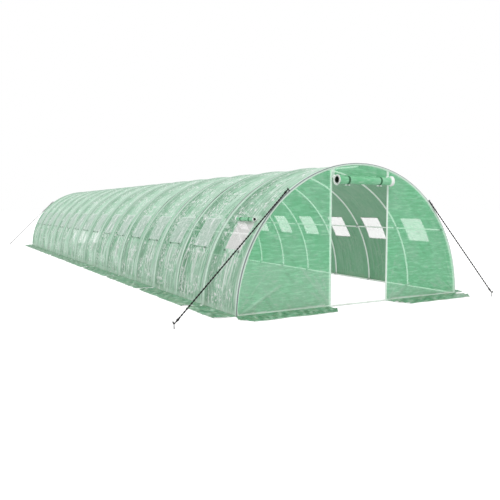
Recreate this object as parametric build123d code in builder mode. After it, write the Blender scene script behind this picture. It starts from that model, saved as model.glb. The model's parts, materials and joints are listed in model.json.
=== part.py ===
from build123d import *
import os
from math import asin, atan2, cos, degrees, radians, sin, sqrt

# Polytunnel greenhouse: round steel arches under a film cover, a rolled-up door at each end.
# Origin at the centre of the ground plan, X across, Y along the tunnel, Z up, front door at -Y.

# Main sizes, in millimetres
tunnel_length = 16000
tunnel_width = 4000
bay_count = 16
half_turn = 180

# Tubes and film
arch_tube = 25
rail_tube = 25
purlin_tube = 22
post_tube = 25
film = 4
fit_gap = 0.5
seam_gap = 1

# Purlins, by their height above the ground
purlin_height = 1030

# Cast clamps where the purlins and rails cross the arches
clamp_length = 46
clamp_width = 36
clamp_wall = 5
clamp_cup = 2
clamp_round = 3
clamp_ground_gap = 1

# Doorway, with its lintel measured down from the crown of the cover
door_clear = 1020
lintel_drop = 200

# Rolled-up door sheet: a loose spiral that widens at both ends
door_roll_drop = 44
door_roll_length = 990
door_roll_core = 28
door_roll_turns = 4
door_roll_pitch = 8
door_roll_flare = 1.34
door_roll_flare_length = 60
door_sheet = 3
door_sheet_lap = 75

# Straps that hold the rolled door sheet, each with a toggle under the roll
tie_spacing = 580
tie_width = 30
tie_strap = 2
tie_gap = 1
tie_top = 110
toggle_diameter = 12
toggle_length = 56

# Windows, nets and flaps
window_low = 830
window_high = 1205
window_width = 440
window_station_left = 430
window_station_right = 590
net_thickness = 2
flap_film = 3
flap_margin = 25
flap_hem = 14
flap_roll = 56
flap_roll_bore = 16
flap_roll_lift = 4

# Ground skirts
skirt_film = 4
skirt_width = 290
skirt_notch = 60
skirt_corner = 70
skirt_end_depth = 350
skirt_end_taper = 150
skirt_door_gap = 30

# Guy ropes from an eye on each end arch to a peg out from the side and beyond the end
rope_diameter = 14
guy_angle = 53
guy_angle_low = 47
peg_out_wide = 940
peg_out_rear = 700
peg_out_close = 240
peg_beyond_short = 250
peg_beyond_long = 500
peg_diameter = 12
peg_height = 85
peg_hook = 14
peg_bend = 150
eye_nut = 26
eye_nut_height = 6
eye_nut_sides = 6
eye_stem = 14
eye_ring = 13
eye_wire = 8

# Sizes worked out from the ones above
cover_outer = tunnel_width / 2
cover_inner = cover_outer - film
arch_radius = cover_inner - fit_gap - arch_tube / 2
arch_inner = arch_radius - arch_tube / 2
arch_groove = arch_tube / 2 + fit_gap
end_face = tunnel_length / 2
end_arch_y = end_face - film - fit_gap - arch_tube / 2
bay = 2 * end_arch_y / bay_count
arch_stations = [bay * number - end_arch_y for number in range(bay_count + 1)]
tunnel_axis = Axis((0, 0, 0), (0, -1, 0))
sides = {"left": -1, "right": 1}
ends = {"front": -1, "rear": 1}


def radial_plane(angle):
    """Plane through the tunnel axis, with local X out at an angle up from +X and local Y along +Y."""
    out = (cos(radians(angle)), 0, sin(radians(angle)))
    up = (-sin(radians(angle)), 0, cos(radians(angle)))
    return Plane(origin=(0, 0, 0), x_dir=out, z_dir=up)


def angle_at(height, radius):
    """Angle up from the ground of the point of a circle at a height."""
    return degrees(asin(height / radius))


def arc_angle(length, radius):
    """Angle that an arc of a length spans."""
    return degrees(length / radius)


def save(piece, name):
    """Labels a finished piece and writes its file."""
    piece.part.label = name
    export_step(piece.part, f"parts/{name}.step")


os.makedirs("parts", exist_ok=True)

window_start = angle_at(window_low, cover_outer)
window_end = angle_at(window_high, cover_outer)
window_stations = {
    "left": [station + window_station_left for station in arch_stations[:-1]],
    "right": [station + window_station_right for station in arch_stations[:-1]],
}

# Steel arches
for number, station in enumerate(arch_stations, start=1):
    with BuildPart() as arch:
        with BuildSketch(Plane.XY):
            with Locations((arch_radius, station)):
                Circle(arch_tube / 2)
        revolve(axis=tunnel_axis, revolution_arc=half_turn)
    save(arch, f"arch_{number:02d}")

# Cover widths, welded together over every second arch, with the windows cut through
seam_stations = [-end_face] + arch_stations[1::2] + [end_face]
for number, (near, far) in enumerate(zip(seam_stations, seam_stations[1:]), start=1):
    start = near + (seam_gap / 2 if near > -end_face else 0)
    stop = far - (seam_gap / 2 if far < end_face else 0)
    with BuildPart() as cover:
        with BuildSketch(Plane.XY):
            with Locations(((cover_inner + cover_outer) / 2, (start + stop) / 2)):
                Rectangle(film, stop - start)
        revolve(axis=tunnel_axis, revolution_arc=half_turn)
        for side in sides:
            low_edge = window_start if side == "right" else half_turn - window_end
            for station in window_stations[side]:
                if start < station < stop:
                    with BuildSketch(radial_plane(low_edge)):
                        with Locations((cover_outer, station)):
                            Rectangle(4 * film, window_width)
                    revolve(axis=tunnel_axis, revolution_arc=window_end - window_start, mode=Mode.SUBTRACT)
    save(cover, f"cover_{number:02d}")

# Base rails, side purlins and ridge purlin, all inside the arches
rail_x = arch_inner - fit_gap - rail_tube / 2
purlin_radius = arch_inner - fit_gap - purlin_tube / 2
purlin_angle = angle_at(purlin_height, purlin_radius)
base_rail_length = 2 * (end_arch_y - rail_tube / 2 - fit_gap)
purlin_length = 2 * end_arch_y
for side, sign in sides.items():
    with BuildPart() as base_rail:
        with BuildSketch(Plane.XZ.offset(-base_rail_length / 2)):
            with Locations((sign * rail_x, rail_tube / 2)):
                Circle(rail_tube / 2)
        extrude(amount=base_rail_length)
    save(base_rail, f"base_rail_{side}")

    with BuildPart() as side_purlin:
        with BuildSketch(Plane.XZ.offset(-purlin_length / 2)):
            with Locations((sign * sqrt(purlin_radius**2 - purlin_height**2), purlin_height)):
                Circle(purlin_tube / 2)
        extrude(amount=purlin_length)
    save(side_purlin, f"side_purlin_{side}")

with BuildPart() as ridge_purlin:
    with BuildSketch(Plane.XZ.offset(-purlin_length / 2)):
        with Locations((0, purlin_radius)):
            Circle(purlin_tube / 2)
    extrude(amount=purlin_length)
save(ridge_purlin, "ridge_purlin")

# Purlin clamps: blocks bored for the purlin, with a groove that takes the inner half of the arch
purlin_angles = (purlin_angle, half_turn / 2, half_turn - purlin_angle)
purlin_clamp_low = purlin_radius - purlin_tube / 2 - clamp_wall
clamp_high = arch_radius + clamp_cup
with BuildPart() as purlin_clamp_row:
    for angle in purlin_angles:
        with BuildSketch(radial_plane(angle)):
            with Locations(((purlin_clamp_low + clamp_high) / 2, 0)):
                RectangleRounded(clamp_high - purlin_clamp_low, clamp_length, clamp_round)
        extrude(amount=clamp_width / 2, both=True)
    with BuildSketch(Plane.XZ.offset(-clamp_length)):
        for angle in purlin_angles:
            with Locations((purlin_radius * cos(radians(angle)), purlin_radius * sin(radians(angle)))):
                Circle(purlin_tube / 2 + fit_gap)
    extrude(amount=2 * clamp_length, mode=Mode.SUBTRACT)
    with BuildSketch(Plane.XY):
        with Locations((arch_radius, 0)):
            Circle(arch_groove)
    revolve(axis=tunnel_axis, revolution_arc=half_turn, mode=Mode.SUBTRACT)

end_cut_y = end_arch_y + arch_groove + clamp_length / 2
with BuildPart() as purlin_clamps:
    with Locations(*[(0, station, 0) for station in arch_stations]):
        add(purlin_clamp_row.part)
    with Locations((0, -end_cut_y, arch_radius / 2), (0, end_cut_y, arch_radius / 2)):
        Box(tunnel_width, clamp_length, tunnel_width, mode=Mode.SUBTRACT)
save(purlin_clamps, "purlin_clamps")

# Rail clamps: saddles over the base rails, with a groove round the inner half of each arch's foot
rail_clamp_low = rail_x - rail_tube / 2 - clamp_wall
rail_clamp_top = rail_tube + 2 * clamp_wall
with BuildPart() as rail_clamp_pair:
    with BuildSketch(Plane.XY.offset(clamp_ground_gap)):
        with Locations(*[(sign * (rail_clamp_low + clamp_high) / 2, 0) for sign in (-1, 1)]):
            RectangleRounded(clamp_high - rail_clamp_low, clamp_length, clamp_round)
    extrude(amount=rail_clamp_top - clamp_ground_gap)
    with BuildSketch(Plane.XZ.offset(-clamp_length)):
        with Locations((-rail_x, rail_tube / 2), (rail_x, rail_tube / 2)):
            Circle(rail_tube / 2 + fit_gap)
    extrude(amount=2 * clamp_length, mode=Mode.SUBTRACT)
    with BuildSketch(Plane.XY):
        with Locations((arch_radius, 0)):
            Circle(arch_groove)
    revolve(axis=tunnel_axis, revolution_arc=half_turn, mode=Mode.SUBTRACT)

with BuildPart() as rail_clamps:
    with Locations(*[(0, station, 0) for station in arch_stations[1:-1]]):
        add(rail_clamp_pair.part)
save(rail_clamps, "rail_clamps")

# End frames: a ground rail across the end, two door posts up to the arch, and a lintel between them
lintel_height = cover_outer - lintel_drop
post_x = (door_clear + post_tube) / 2
post_foot = rail_tube + fit_gap
post_top = sqrt(arch_radius**2 - post_x**2)
end_rail_length = 2 * (arch_inner - fit_gap)
lintel_length = 2 * (post_x - post_tube / 2 - fit_gap)
for end, sign in ends.items():
    with BuildPart() as end_frame:
        with BuildSketch(Plane.XY.offset(post_foot)):
            with Locations((-post_x, sign * end_arch_y), (post_x, sign * end_arch_y)):
                Circle(post_tube / 2)
        extrude(amount=post_top - post_foot)
        with BuildSketch(Plane.XY):
            with Locations((arch_radius, sign * end_arch_y)):
                Circle(arch_groove)
        revolve(axis=tunnel_axis, revolution_arc=half_turn, mode=Mode.SUBTRACT)
        with BuildSketch(Plane.YZ.offset(-end_rail_length / 2)):
            with Locations((sign * end_arch_y, rail_tube / 2)):
                Circle(rail_tube / 2)
        extrude(amount=end_rail_length)
        with BuildSketch(Plane.YZ.offset(-lintel_length / 2)):
            with Locations((sign * end_arch_y, lintel_height)):
                Circle(post_tube / 2)
        extrude(amount=lintel_length)
    save(end_frame, f"{end}_end_frame")

# End panels: film beside and over each doorway, inside the edge of the cover
panel_radius = cover_inner - fit_gap
door_edge = door_clear / 2
for end, sign in ends.items():
    panel_plane = Plane.XZ.offset(end_face - film) if sign < 0 else Plane.XZ.offset(-end_face)
    with BuildPart() as end_panel:
        with BuildSketch(panel_plane):
            Circle(panel_radius)
            with Locations((0, -tunnel_width / 2)):
                Rectangle(2 * tunnel_width, tunnel_width, mode=Mode.SUBTRACT)
            with Locations((0, lintel_height / 2)):
                Rectangle(door_clear, lintel_height, mode=Mode.SUBTRACT)
            with Locations((-door_edge, tunnel_width / 2), (door_edge, tunnel_width / 2)):
                Rectangle(seam_gap, tunnel_width, mode=Mode.SUBTRACT)
        extrude(amount=film)
    save(end_panel, f"{end}_panel")

# Rolled-up door sheets. Each section is a spiral of half circles, wound outwards from the core, whose
# last half turn leaves upwards along the panel. Its back stays in one plane where the roll widens.
door_roll_height = lintel_height - door_roll_drop
door_roll_outer = door_roll_core + door_roll_turns * door_roll_pitch
half_pitch = door_roll_pitch / 2
roll_back = end_face + fit_gap + tie_strap + tie_gap
roll_sections = [
    (0, door_roll_flare),
    (door_roll_flare_length, 1),
    (door_roll_length - door_roll_flare_length, 1),
    (door_roll_length, door_roll_flare),
]
for end, sign in ends.items():
    roll_start = Plane(
        origin=(-sign * door_roll_length / 2, sign * roll_back, door_roll_height),
        x_dir=(0, sign, 0),
        z_dir=(sign, 0, 0),
    )
    with BuildPart() as door_roll:
        for place, growth in roll_sections:
            with BuildSketch(roll_start.offset(place)):
                with BuildLine():
                    for half in range(2 * door_roll_turns):
                        under = half % 2
                        middle = growth * (door_roll_outer - under * half_pitch)
                        radius = growth * (door_roll_core + half * half_pitch)
                        CenterArc((middle, 0), radius, 0 if under else half_turn, -half_turn)
                        CenterArc((middle, 0), radius - door_sheet, 0 if under else half_turn, -half_turn)
                    inner_edge = growth * (door_roll_outer - door_roll_core)
                    Line((inner_edge, 0), (inner_edge + door_sheet, 0))
                    Polyline(
                        (0, 0),
                        (0, growth * door_sheet_lap),
                        (door_sheet, growth * door_sheet_lap),
                        (door_sheet, 0),
                    )
                make_face()
        loft(ruled=True)
    save(door_roll, f"{end}_door_roll")

# Door ties: a strap from the panel down over each rolled sheet and up behind it, with a toggle underneath
tie_middle = door_roll_outer - half_pitch
tie_radius = tie_middle + tie_gap
tie_loops = [(tie_radius + tie_strap, tie_top + tie_strap, Mode.ADD), (tie_radius, tie_top, Mode.SUBTRACT)]
toggle_drop = tie_radius + tie_strap + toggle_diameter / 2 - tie_gap
with BuildPart() as door_ties:
    for sign in ends.values():
        for shift in (-tie_spacing / 2, tie_spacing / 2):
            tie_plane = Plane(
                origin=(shift, sign * roll_back, door_roll_height),
                x_dir=(0, sign, 0),
                z_dir=(sign, 0, 0),
            )
            with BuildSketch(tie_plane):
                for radius, top, mode in tie_loops:
                    lean = degrees(atan2(top, radius))
                    with BuildLine():
                        CenterArc((tie_middle, 0), radius, half_turn, 2 * half_turn - 2 * lean)
                        end_angle = radians(half_turn - 2 * lean)
                        Polyline(
                            (tie_middle + radius * cos(end_angle), radius * sin(end_angle)),
                            (tie_middle - radius, top),
                            (tie_middle - radius, 0),
                        )
                    make_face(mode=mode)
            extrude(amount=tie_width / 2, both=True)
            with BuildSketch(tie_plane):
                with Locations((tie_middle, -toggle_drop)):
                    Circle(toggle_diameter / 2)
            extrude(amount=toggle_length / 2, both=True)
save(door_ties, "door_ties")

# Window nets, a hair smaller than the holes that they fill
net_inner = cover_inner + (film - net_thickness) / 2
edge_gap = arc_angle(fit_gap, cover_outer)
net_span = window_end - window_start - 2 * edge_gap
for side in sides:
    low_edge = window_start if side == "right" else half_turn - window_end
    with BuildPart() as window_nets:
        with BuildSketch(radial_plane(low_edge + edge_gap)):
            with Locations(*[(net_inner + net_thickness / 2, station) for station in window_stations[side]]):
                Rectangle(net_thickness, window_width - 2 * fit_gap)
        revolve(axis=tunnel_axis, revolution_arc=net_span)
    save(window_nets, f"window_nets_{side}")

# Window flaps: closed on the left side but for the front window, with a hem along the lower edge
flap_inner = cover_outer + fit_gap
flap_width = window_width + 2 * flap_margin
flap_low = window_start - arc_angle(flap_margin, cover_outer)
flap_high = window_end + arc_angle(flap_margin, cover_outer)
hem_radius = flap_inner + flap_hem / 2
hem_centre = (-hem_radius * cos(radians(flap_low)), hem_radius * sin(radians(flap_low)))
with BuildPart() as closed_flaps:
    with BuildSketch(radial_plane(half_turn - flap_high)):
        with Locations(*[(flap_inner + flap_film / 2, station) for station in window_stations["left"][1:]]):
            Rectangle(flap_film, flap_width)
    revolve(axis=tunnel_axis, revolution_arc=flap_high - flap_low)
    for station in window_stations["left"][1:]:
        with BuildSketch(Plane.XZ.offset(-station - flap_width / 2)):
            with Locations(hem_centre):
                Circle(flap_hem / 2)
        extrude(amount=flap_width)
save(closed_flaps, "window_flaps_closed")

# Rolled-up flaps over the open windows
flap_roll_radius = cover_outer + fit_gap + flap_roll / 2
flap_roll_angle = window_end + arc_angle(flap_roll_lift, cover_outer)
flap_roll_x = flap_roll_radius * cos(radians(flap_roll_angle))
flap_roll_z = flap_roll_radius * sin(radians(flap_roll_angle))
open_windows = {"left": window_stations["left"][:1], "right": window_stations["right"]}
for side, sign in sides.items():
    with BuildPart() as flap_rolls:
        for station in open_windows[side]:
            with BuildSketch(Plane.XZ.offset(-station - flap_width / 2)):
                with Locations((sign * flap_roll_x, flap_roll_z)):
                    Circle(flap_roll / 2)
                    Circle(flap_roll_bore / 2, mode=Mode.SUBTRACT)
            extrude(amount=flap_width)
    save(flap_rolls, f"window_flap_rolls_{side}")

# Ground skirts along the sides, one flap for each cover width, with the corners cut off
skirt_inner = cover_outer + fit_gap
for side, sign in sides.items():
    with BuildPart() as side_skirt:
        for near, far in zip(seam_stations, seam_stations[1:]):
            start = near + skirt_notch / 2
            stop = far - skirt_notch / 2
            with BuildSketch(Plane.XY):
                with BuildLine():
                    Polyline(
                        (sign * skirt_inner, start),
                        (sign * (skirt_inner + skirt_width - skirt_corner), start),
                        (sign * (skirt_inner + skirt_width), start + skirt_corner),
                        (sign * (skirt_inner + skirt_width), stop - skirt_corner),
                        (sign * (skirt_inner + skirt_width - skirt_corner), stop),
                        (sign * skirt_inner, stop),
                        close=True,
                    )
                make_face()
            extrude(amount=skirt_film)
    save(side_skirt, f"skirt_{side}")

# Ground skirts before both ends, split at the doorway
skirt_near = end_face + fit_gap
for end, sign in ends.items():
    with BuildPart() as end_skirt:
        for side in (-1, 1):
            with BuildSketch(Plane.XY):
                with BuildLine():
                    Polyline(
                        (side * (door_edge + skirt_door_gap), sign * skirt_near),
                        (side * (door_edge + skirt_door_gap), sign * (skirt_near + skirt_end_depth / 2)),
                        (side * (door_edge + skirt_end_taper), sign * (skirt_near + skirt_end_depth)),
                        (side * (cover_outer - skirt_corner), sign * (skirt_near + skirt_end_depth)),
                        (side * (cover_outer + skirt_corner), sign * (skirt_near + skirt_end_depth / 2)),
                        (side * cover_outer, sign * skirt_near),
                        close=True,
                    )
                make_face()
            extrude(amount=skirt_film)
    save(end_skirt, f"{end}_skirt")

# Places of the taut guy ropes: the way out from the axis at each eye, the eye's seat and the peg's foot
guys = [
    ("front", "left", guy_angle, peg_out_wide, peg_beyond_short),
    ("front", "right", guy_angle_low, peg_out_close, peg_beyond_long),
    ("rear", "left", guy_angle, peg_out_rear, peg_beyond_long),
    ("rear", "right", guy_angle, peg_out_wide, peg_beyond_short),
]
guy_places = []
for end, side, angle, out, beyond in guys:
    outward = Vector(sides[side] * cos(radians(angle)), 0, sin(radians(angle)))
    seat = outward * (cover_outer + fit_gap) + Vector(0, ends[end] * end_arch_y, 0)
    foot = Vector(sides[side] * (cover_outer + out), ends[end] * (end_face + beyond), 0)
    guy_places.append((outward, seat, foot))

# Eyes that hold the ropes: a nut on the cover over each end arch, a stem and a ring
along = Vector(0, 1, 0)
upright = Vector(0, 0, 1)
with BuildPart() as rope_hooks:
    for outward, seat, foot in guy_places:
        with BuildSketch(Plane(origin=seat, x_dir=along, z_dir=outward)):
            RegularPolygon(eye_nut / 2, eye_nut_sides)
        extrude(amount=eye_nut_height)
        with BuildSketch(Plane(origin=seat, x_dir=along, z_dir=outward)):
            Circle(eye_wire / 2)
        extrude(amount=eye_stem)
        ring_middle = seat + outward * (eye_stem + eye_ring)
        with Locations(Plane(origin=ring_middle, x_dir=along, z_dir=outward.cross(along))):
            Torus(eye_ring, eye_wire / 2)
save(rope_hooks, "rope_hooks")

# Ground pegs, bent over at the top away from the tunnel's side
with BuildPart() as ground_pegs:
    for outward, seat, foot in guy_places:
        away = Vector(outward.X, 0, 0).normalized()
        with BuildLine(Plane(origin=foot, x_dir=away, z_dir=away.cross(upright))):
            Line((0, 0), (0, peg_height - peg_hook))
            CenterArc((peg_hook, peg_height - peg_hook), peg_hook, half_turn, -peg_bend)
        with BuildSketch(Plane(origin=foot, z_dir=upright)):
            Circle(peg_diameter / 2)
        sweep()
save(ground_pegs, "ground_pegs")

# Guy ropes, straight from just outside the ring to just before the peg
ring_end = eye_ring + eye_wire + fit_gap
peg_end = peg_diameter / 2 + rope_diameter + fit_gap
with BuildPart() as guy_ropes:
    for outward, seat, foot in guy_places:
        ring = seat + outward * (eye_stem + eye_ring)
        tied = foot + upright * (peg_height - 2 * peg_hook)
        run = ring - tied
        with BuildSketch(Plane(origin=tied + run.normalized() * peg_end, z_dir=run)):
            Circle(rope_diameter / 2)
        extrude(amount=run.length - peg_end - ring_end)
save(guy_ropes, "guy_ropes")
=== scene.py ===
"""Looks of a polytunnel greenhouse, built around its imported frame.

The film skins, nets, rolled sheets, skirts and ropes are modelled here as soft goods, and the steel keeps
its own solids under better finishes. All sizes are in metres.
"""

import json
import logging
import math
from dataclasses import dataclass, field
from enum import Enum
from typing import Callable, Sequence

import bpy
import numpy as np
from mathutils import Matrix, Vector


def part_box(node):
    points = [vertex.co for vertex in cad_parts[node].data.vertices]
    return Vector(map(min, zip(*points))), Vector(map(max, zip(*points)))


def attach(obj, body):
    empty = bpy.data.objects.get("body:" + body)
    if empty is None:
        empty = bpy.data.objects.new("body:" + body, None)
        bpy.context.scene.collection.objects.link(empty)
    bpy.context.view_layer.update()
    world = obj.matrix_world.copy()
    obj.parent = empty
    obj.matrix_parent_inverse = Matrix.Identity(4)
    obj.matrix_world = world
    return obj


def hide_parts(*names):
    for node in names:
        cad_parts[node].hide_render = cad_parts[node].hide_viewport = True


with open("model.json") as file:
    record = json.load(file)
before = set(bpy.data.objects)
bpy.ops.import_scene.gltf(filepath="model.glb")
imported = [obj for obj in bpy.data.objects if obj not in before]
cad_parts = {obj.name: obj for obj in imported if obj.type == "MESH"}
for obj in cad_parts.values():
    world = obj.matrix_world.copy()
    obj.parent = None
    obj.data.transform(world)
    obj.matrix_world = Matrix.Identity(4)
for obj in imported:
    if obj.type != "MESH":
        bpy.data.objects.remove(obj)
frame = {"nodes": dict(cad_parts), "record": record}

LOG = logging.getLogger("polytunnel")
BODY = "root"
WELD = 0.00002
SECOND_LAYER = 0.8
Array = np.ndarray
Colour = tuple[float, float, float, float]


class Side(Enum):
    """The two long sides, by the sign of X."""

    LEFT = -1
    RIGHT = 1

    @property
    def word(self) -> str:
        """The side's name in lower case."""
        return self.name.lower()


class End(Enum):
    """The two ends, by the sign of Y."""

    FRONT = -1
    REAR = 1

    @property
    def word(self) -> str:
        """The end's name in lower case."""
        return self.name.lower()


def smoothstep(low: float, high: float, value: Array) -> Array:
    """Smooth ramp from 0 at low to 1 at high."""
    t = np.clip((value - low) / (high - low), 0.0, 1.0)
    return t * t * (3.0 - 2.0 * t)


def ripple(across: Array, along: Array, seed: int, wave_across: tuple[float, float],
           wave_along: tuple[float, float], count: int = 9) -> Array:
    """Sum of seeded sine waves, as a smooth repeatable unevenness between about -1 and 1.

    Args:
        across: first coordinate of each point.
        along: second coordinate of each point.
        seed: which unevenness.
        wave_across: shortest and longest wavelength in the first coordinate.
        wave_along: shortest and longest wavelength in the second coordinate.
        count: how many waves are added.

    Returns:
        The height at each point.
    """
    draw = np.random.default_rng(seed)
    total = np.zeros(np.broadcast(across, along).shape)
    for _ in range(count):
        length_across = draw.uniform(*wave_across)
        length_along = draw.uniform(*wave_along) * draw.choice((-1.0, 1.0))
        phase = draw.uniform(0.0, 2.0 * math.pi)
        total += np.sin(2.0 * math.pi * (across / length_across + along / length_along) + phase)
    return total / math.sqrt(2.0 * count)


def steps(low: float, high: float, pitch: float, kept: Sequence[float] = ()) -> Array:
    """Evenly spaced values from low to high that also hold the kept values.

    Args:
        low: first value.
        high: last value.
        pitch: largest step.
        kept: values inside the range that have to be among the result.

    Returns:
        The sorted values.
    """
    corners = [low] + sorted(k for k in kept if low < k < high) + [high]
    runs = [np.linspace(a, b, max(1, math.ceil((b - a) / pitch)) + 1) for a, b in zip(corners, corners[1:])]
    return np.unique(np.round(np.concatenate(runs), 6))


@dataclass
class Skin:
    """Points, faces, flat coordinates, layer counts and crests that become one mesh; the crests set painted
    highlights and painted shade in the film finishes.
    """

    points: list[Array] = field(default_factory=list)
    faces: list[Array] = field(default_factory=list)
    flats: list[Array] = field(default_factory=list)
    layers: list[Array] = field(default_factory=list)
    crests: list[Array] = field(default_factory=list)
    size: int = 0

    def add_grid(self, points: Array, flat: Array, layers: Array | float = 1.0, crests: Array | float = 0.0,
                 keep: Array | None = None, flip: bool = False) -> None:
        """Adds a grid of quads.

        Args:
            points: array of rows x columns x 3.
            flat: array of rows x columns x 2, the place on the flat cloth in metres.
            layers: how many layers of film lie at each point.
            crests: how far each point stands on a crease, from -1 in a valley to 1 on a ridge; the film
                finishes paint shade in valleys and highlights on ridges from it.
            keep: array of (rows - 1) x (columns - 1), true where there is a face.
            flip: turns the faces over.
        """
        rows, columns = points.shape[:2]
        index = np.arange(rows * columns).reshape(rows, columns) + self.size
        quads = np.stack([index[:-1, :-1], index[:-1, 1:], index[1:, 1:], index[1:, :-1]], -1)
        if keep is not None:
            quads = quads[keep]
        quads = quads.reshape(-1, 4)
        self.faces.append(quads[:, ::-1] if flip else quads)
        self.points.append(points.reshape(-1, 3))
        self.flats.append(flat.reshape(-1, 2))
        self.layers.append(np.broadcast_to(layers, (rows, columns)).reshape(-1))
        self.crests.append(np.broadcast_to(crests, (rows, columns)).reshape(-1))
        self.size += rows * columns

    def build(self, name: str, closed: bool = False, thickness: float = 0.0) -> bpy.types.Object:
        """Makes the object.

        Args:
            name: the piece's name.
            closed: merges touching points and turns the faces outwards.
            thickness: gives the skin this thickness, or 0 for none.

        Returns:
            The new mesh object, at the origin.
        """
        mesh = bpy.data.meshes.new(name)
        points = np.concatenate(self.points)
        faces = np.concatenate(self.faces)
        mesh.vertices.add(len(points))
        mesh.vertices.foreach_set("co", points.astype(np.float32).ravel())
        mesh.loops.add(faces.size)
        mesh.loops.foreach_set("vertex_index", faces.astype(np.int32).ravel())
        mesh.polygons.add(len(faces))
        mesh.polygons.foreach_set("loop_start", np.arange(0, faces.size, 4, dtype=np.int32))
        mesh.update(calc_edges=True)
        mesh.polygons.foreach_set("use_smooth", np.ones(len(faces), bool))
        flat = np.concatenate(self.flats)[faces.ravel()]
        mesh.uv_layers.new(name="flat").data.foreach_set("uv", flat.astype(np.float32).ravel())
        for label, values in (("layers", self.layers), ("crest", self.crests)):
            attribute = mesh.attributes.new(label, "FLOAT", "POINT")
            attribute.data.foreach_set("value", np.concatenate(values).astype(np.float32))
        mesh.validate()
        piece = bpy.data.objects.new(name, mesh)
        bpy.context.scene.collection.objects.link(piece)
        activate(piece)
        if closed:
            bpy.ops.object.mode_set(mode="EDIT")
            bpy.ops.mesh.select_all(action="SELECT")
            bpy.ops.mesh.remove_doubles(threshold=WELD)
            bpy.ops.mesh.normals_make_consistent(inside=False)
            bpy.ops.object.mode_set(mode="OBJECT")
        if thickness:
            solid = piece.modifiers.new("thickness", "SOLIDIFY")
            solid.thickness = thickness
            solid.offset = 0.0
            bpy.ops.object.modifier_apply(modifier=solid.name)
        return piece


def tube(skin: Skin, path: Array, radius: float, sides: int = 8) -> None:
    """Adds a round closed tube along a path.

    Args:
        skin: where the faces go.
        path: the points of the centreline.
        radius: half the tube's thickness.
        sides: how many faces go round it.
    """
    heading = np.gradient(path, axis=0)
    heading /= np.linalg.norm(heading, axis=1, keepdims=True)
    ends = (path[:1] - heading[:1] * radius * 0.5, path[-1:] + heading[-1:] * radius * 0.5)
    path = np.concatenate([ends[0], path, ends[1]])
    heading = np.concatenate([heading[:1], heading, heading[-1:]])
    side = np.cross(heading[0], (0.0, 0.0, 1.0))
    if np.linalg.norm(side) < 0.1:
        side = np.cross(heading[0], (1.0, 0.0, 0.0))
    across = [side / np.linalg.norm(side)]
    for ahead in heading[1:]:
        side = across[-1] - ahead * (across[-1] @ ahead)
        across.append(side / np.linalg.norm(side))
    across = np.array(across)
    upright = np.cross(heading, across)
    turn = np.linspace(0.0, 2.0 * math.pi, sides + 1)
    reach = np.full(len(path), radius)
    reach[0] = reach[-1] = 0.0
    ring = np.cos(turn)[None, :, None] * across[:, None] + np.sin(turn)[None, :, None] * upright[:, None]
    run = np.concatenate([[0.0], np.cumsum(np.linalg.norm(np.diff(path, axis=0), axis=1))])
    flat = np.stack(np.meshgrid(turn * radius, run), -1)
    skin.add_grid(path[:, None] + reach[:, None, None] * ring, flat)


def ribbon(skin: Skin, path: Array, normal: Array, side: Array, width: float, thickness: float) -> None:
    """Adds a flat band along a path, as a closed bar of rectangular section.

    Args:
        skin: where the faces go.
        path: the points of the band's middle line.
        normal: the way out of the band's face at each point.
        side: the way across the band.
        width: the band's width.
        thickness: the band's thickness.
    """
    corners = [(-1, -1), (1, -1), (1, 1), (-1, 1), (-1, -1)]
    rows = np.stack([path + side * (width / 2 * a) + normal * (thickness / 2 * b) for a, b in corners], 1)
    run = np.concatenate([[0.0], np.cumsum(np.linalg.norm(np.diff(path, axis=0), axis=1))])
    across = np.cumsum([0.0, width, thickness, width, thickness])
    skin.add_grid(rows, np.stack(np.meshgrid(across, run), -1))


def activate(piece: bpy.types.Object) -> None:
    """Deselects everything and makes one object the active, selected one."""
    bpy.ops.object.select_all(action="DESELECT")
    piece.select_set(True)
    bpy.context.view_layer.objects.active = piece


def settle(piece: bpy.types.Object, name: str) -> bpy.types.Object:
    """Names a primitive, puts its place into its mesh and leaves the object at the origin."""
    activate(piece)
    bpy.ops.object.transform_apply(location=True, rotation=True, scale=True)
    piece.name = name
    piece.data.name = name
    return piece


def bevel(piece: bpy.types.Object, width: float, segments: int = 2) -> None:
    """Rounds the edges of a piece and shades it smoothly between sharp ones."""
    activate(piece)
    rounding = piece.modifiers.new("rounding", "BEVEL")
    rounding.width = width
    rounding.segments = segments
    rounding.limit_method = "ANGLE"
    bpy.ops.object.modifier_apply(modifier=rounding.name)
    bpy.ops.object.shade_smooth_by_angle(angle=math.radians(35.0))


def join(pieces: Sequence[bpy.types.Object], name: str) -> bpy.types.Object:
    """Joins several meshes into one object with a new name."""
    bpy.ops.object.select_all(action="DESELECT")
    for piece in pieces:
        piece.select_set(True)
    bpy.context.view_layer.objects.active = pieces[0]
    if len(pieces) > 1:
        bpy.ops.object.join()
    joined = bpy.context.view_layer.objects.active
    joined.name = name
    joined.data.name = name
    return joined


def copy_at(piece: bpy.types.Object, places: Sequence[Matrix], name: str) -> bpy.types.Object:
    """Copies a small mesh to several places, joins the copies and removes the first.

    Args:
        piece: the mesh that is modelled once, at the origin.
        places: one matrix for each copy.
        name: the joined piece's name.

    Returns:
        The joined piece.
    """
    copies = []
    for place in places:
        copy = piece.copy()
        copy.data = piece.data.copy()
        copy.data.transform(place)
        bpy.context.scene.collection.objects.link(copy)
        copies.append(copy)
    bpy.data.objects.remove(piece)
    return join(copies, name)


def placed(origin: Sequence[float], out: Sequence[float], side: Sequence[float]) -> Matrix:
    """Matrix that turns local Z to a way out and local X to a way across, and moves to a point."""
    z = Vector(out).normalized()
    y = z.cross(Vector(side)).normalized()
    turned = Matrix((y.cross(z), y, z)).transposed().to_4x4()
    return Matrix.Translation(Vector(origin)) @ turned


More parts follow.
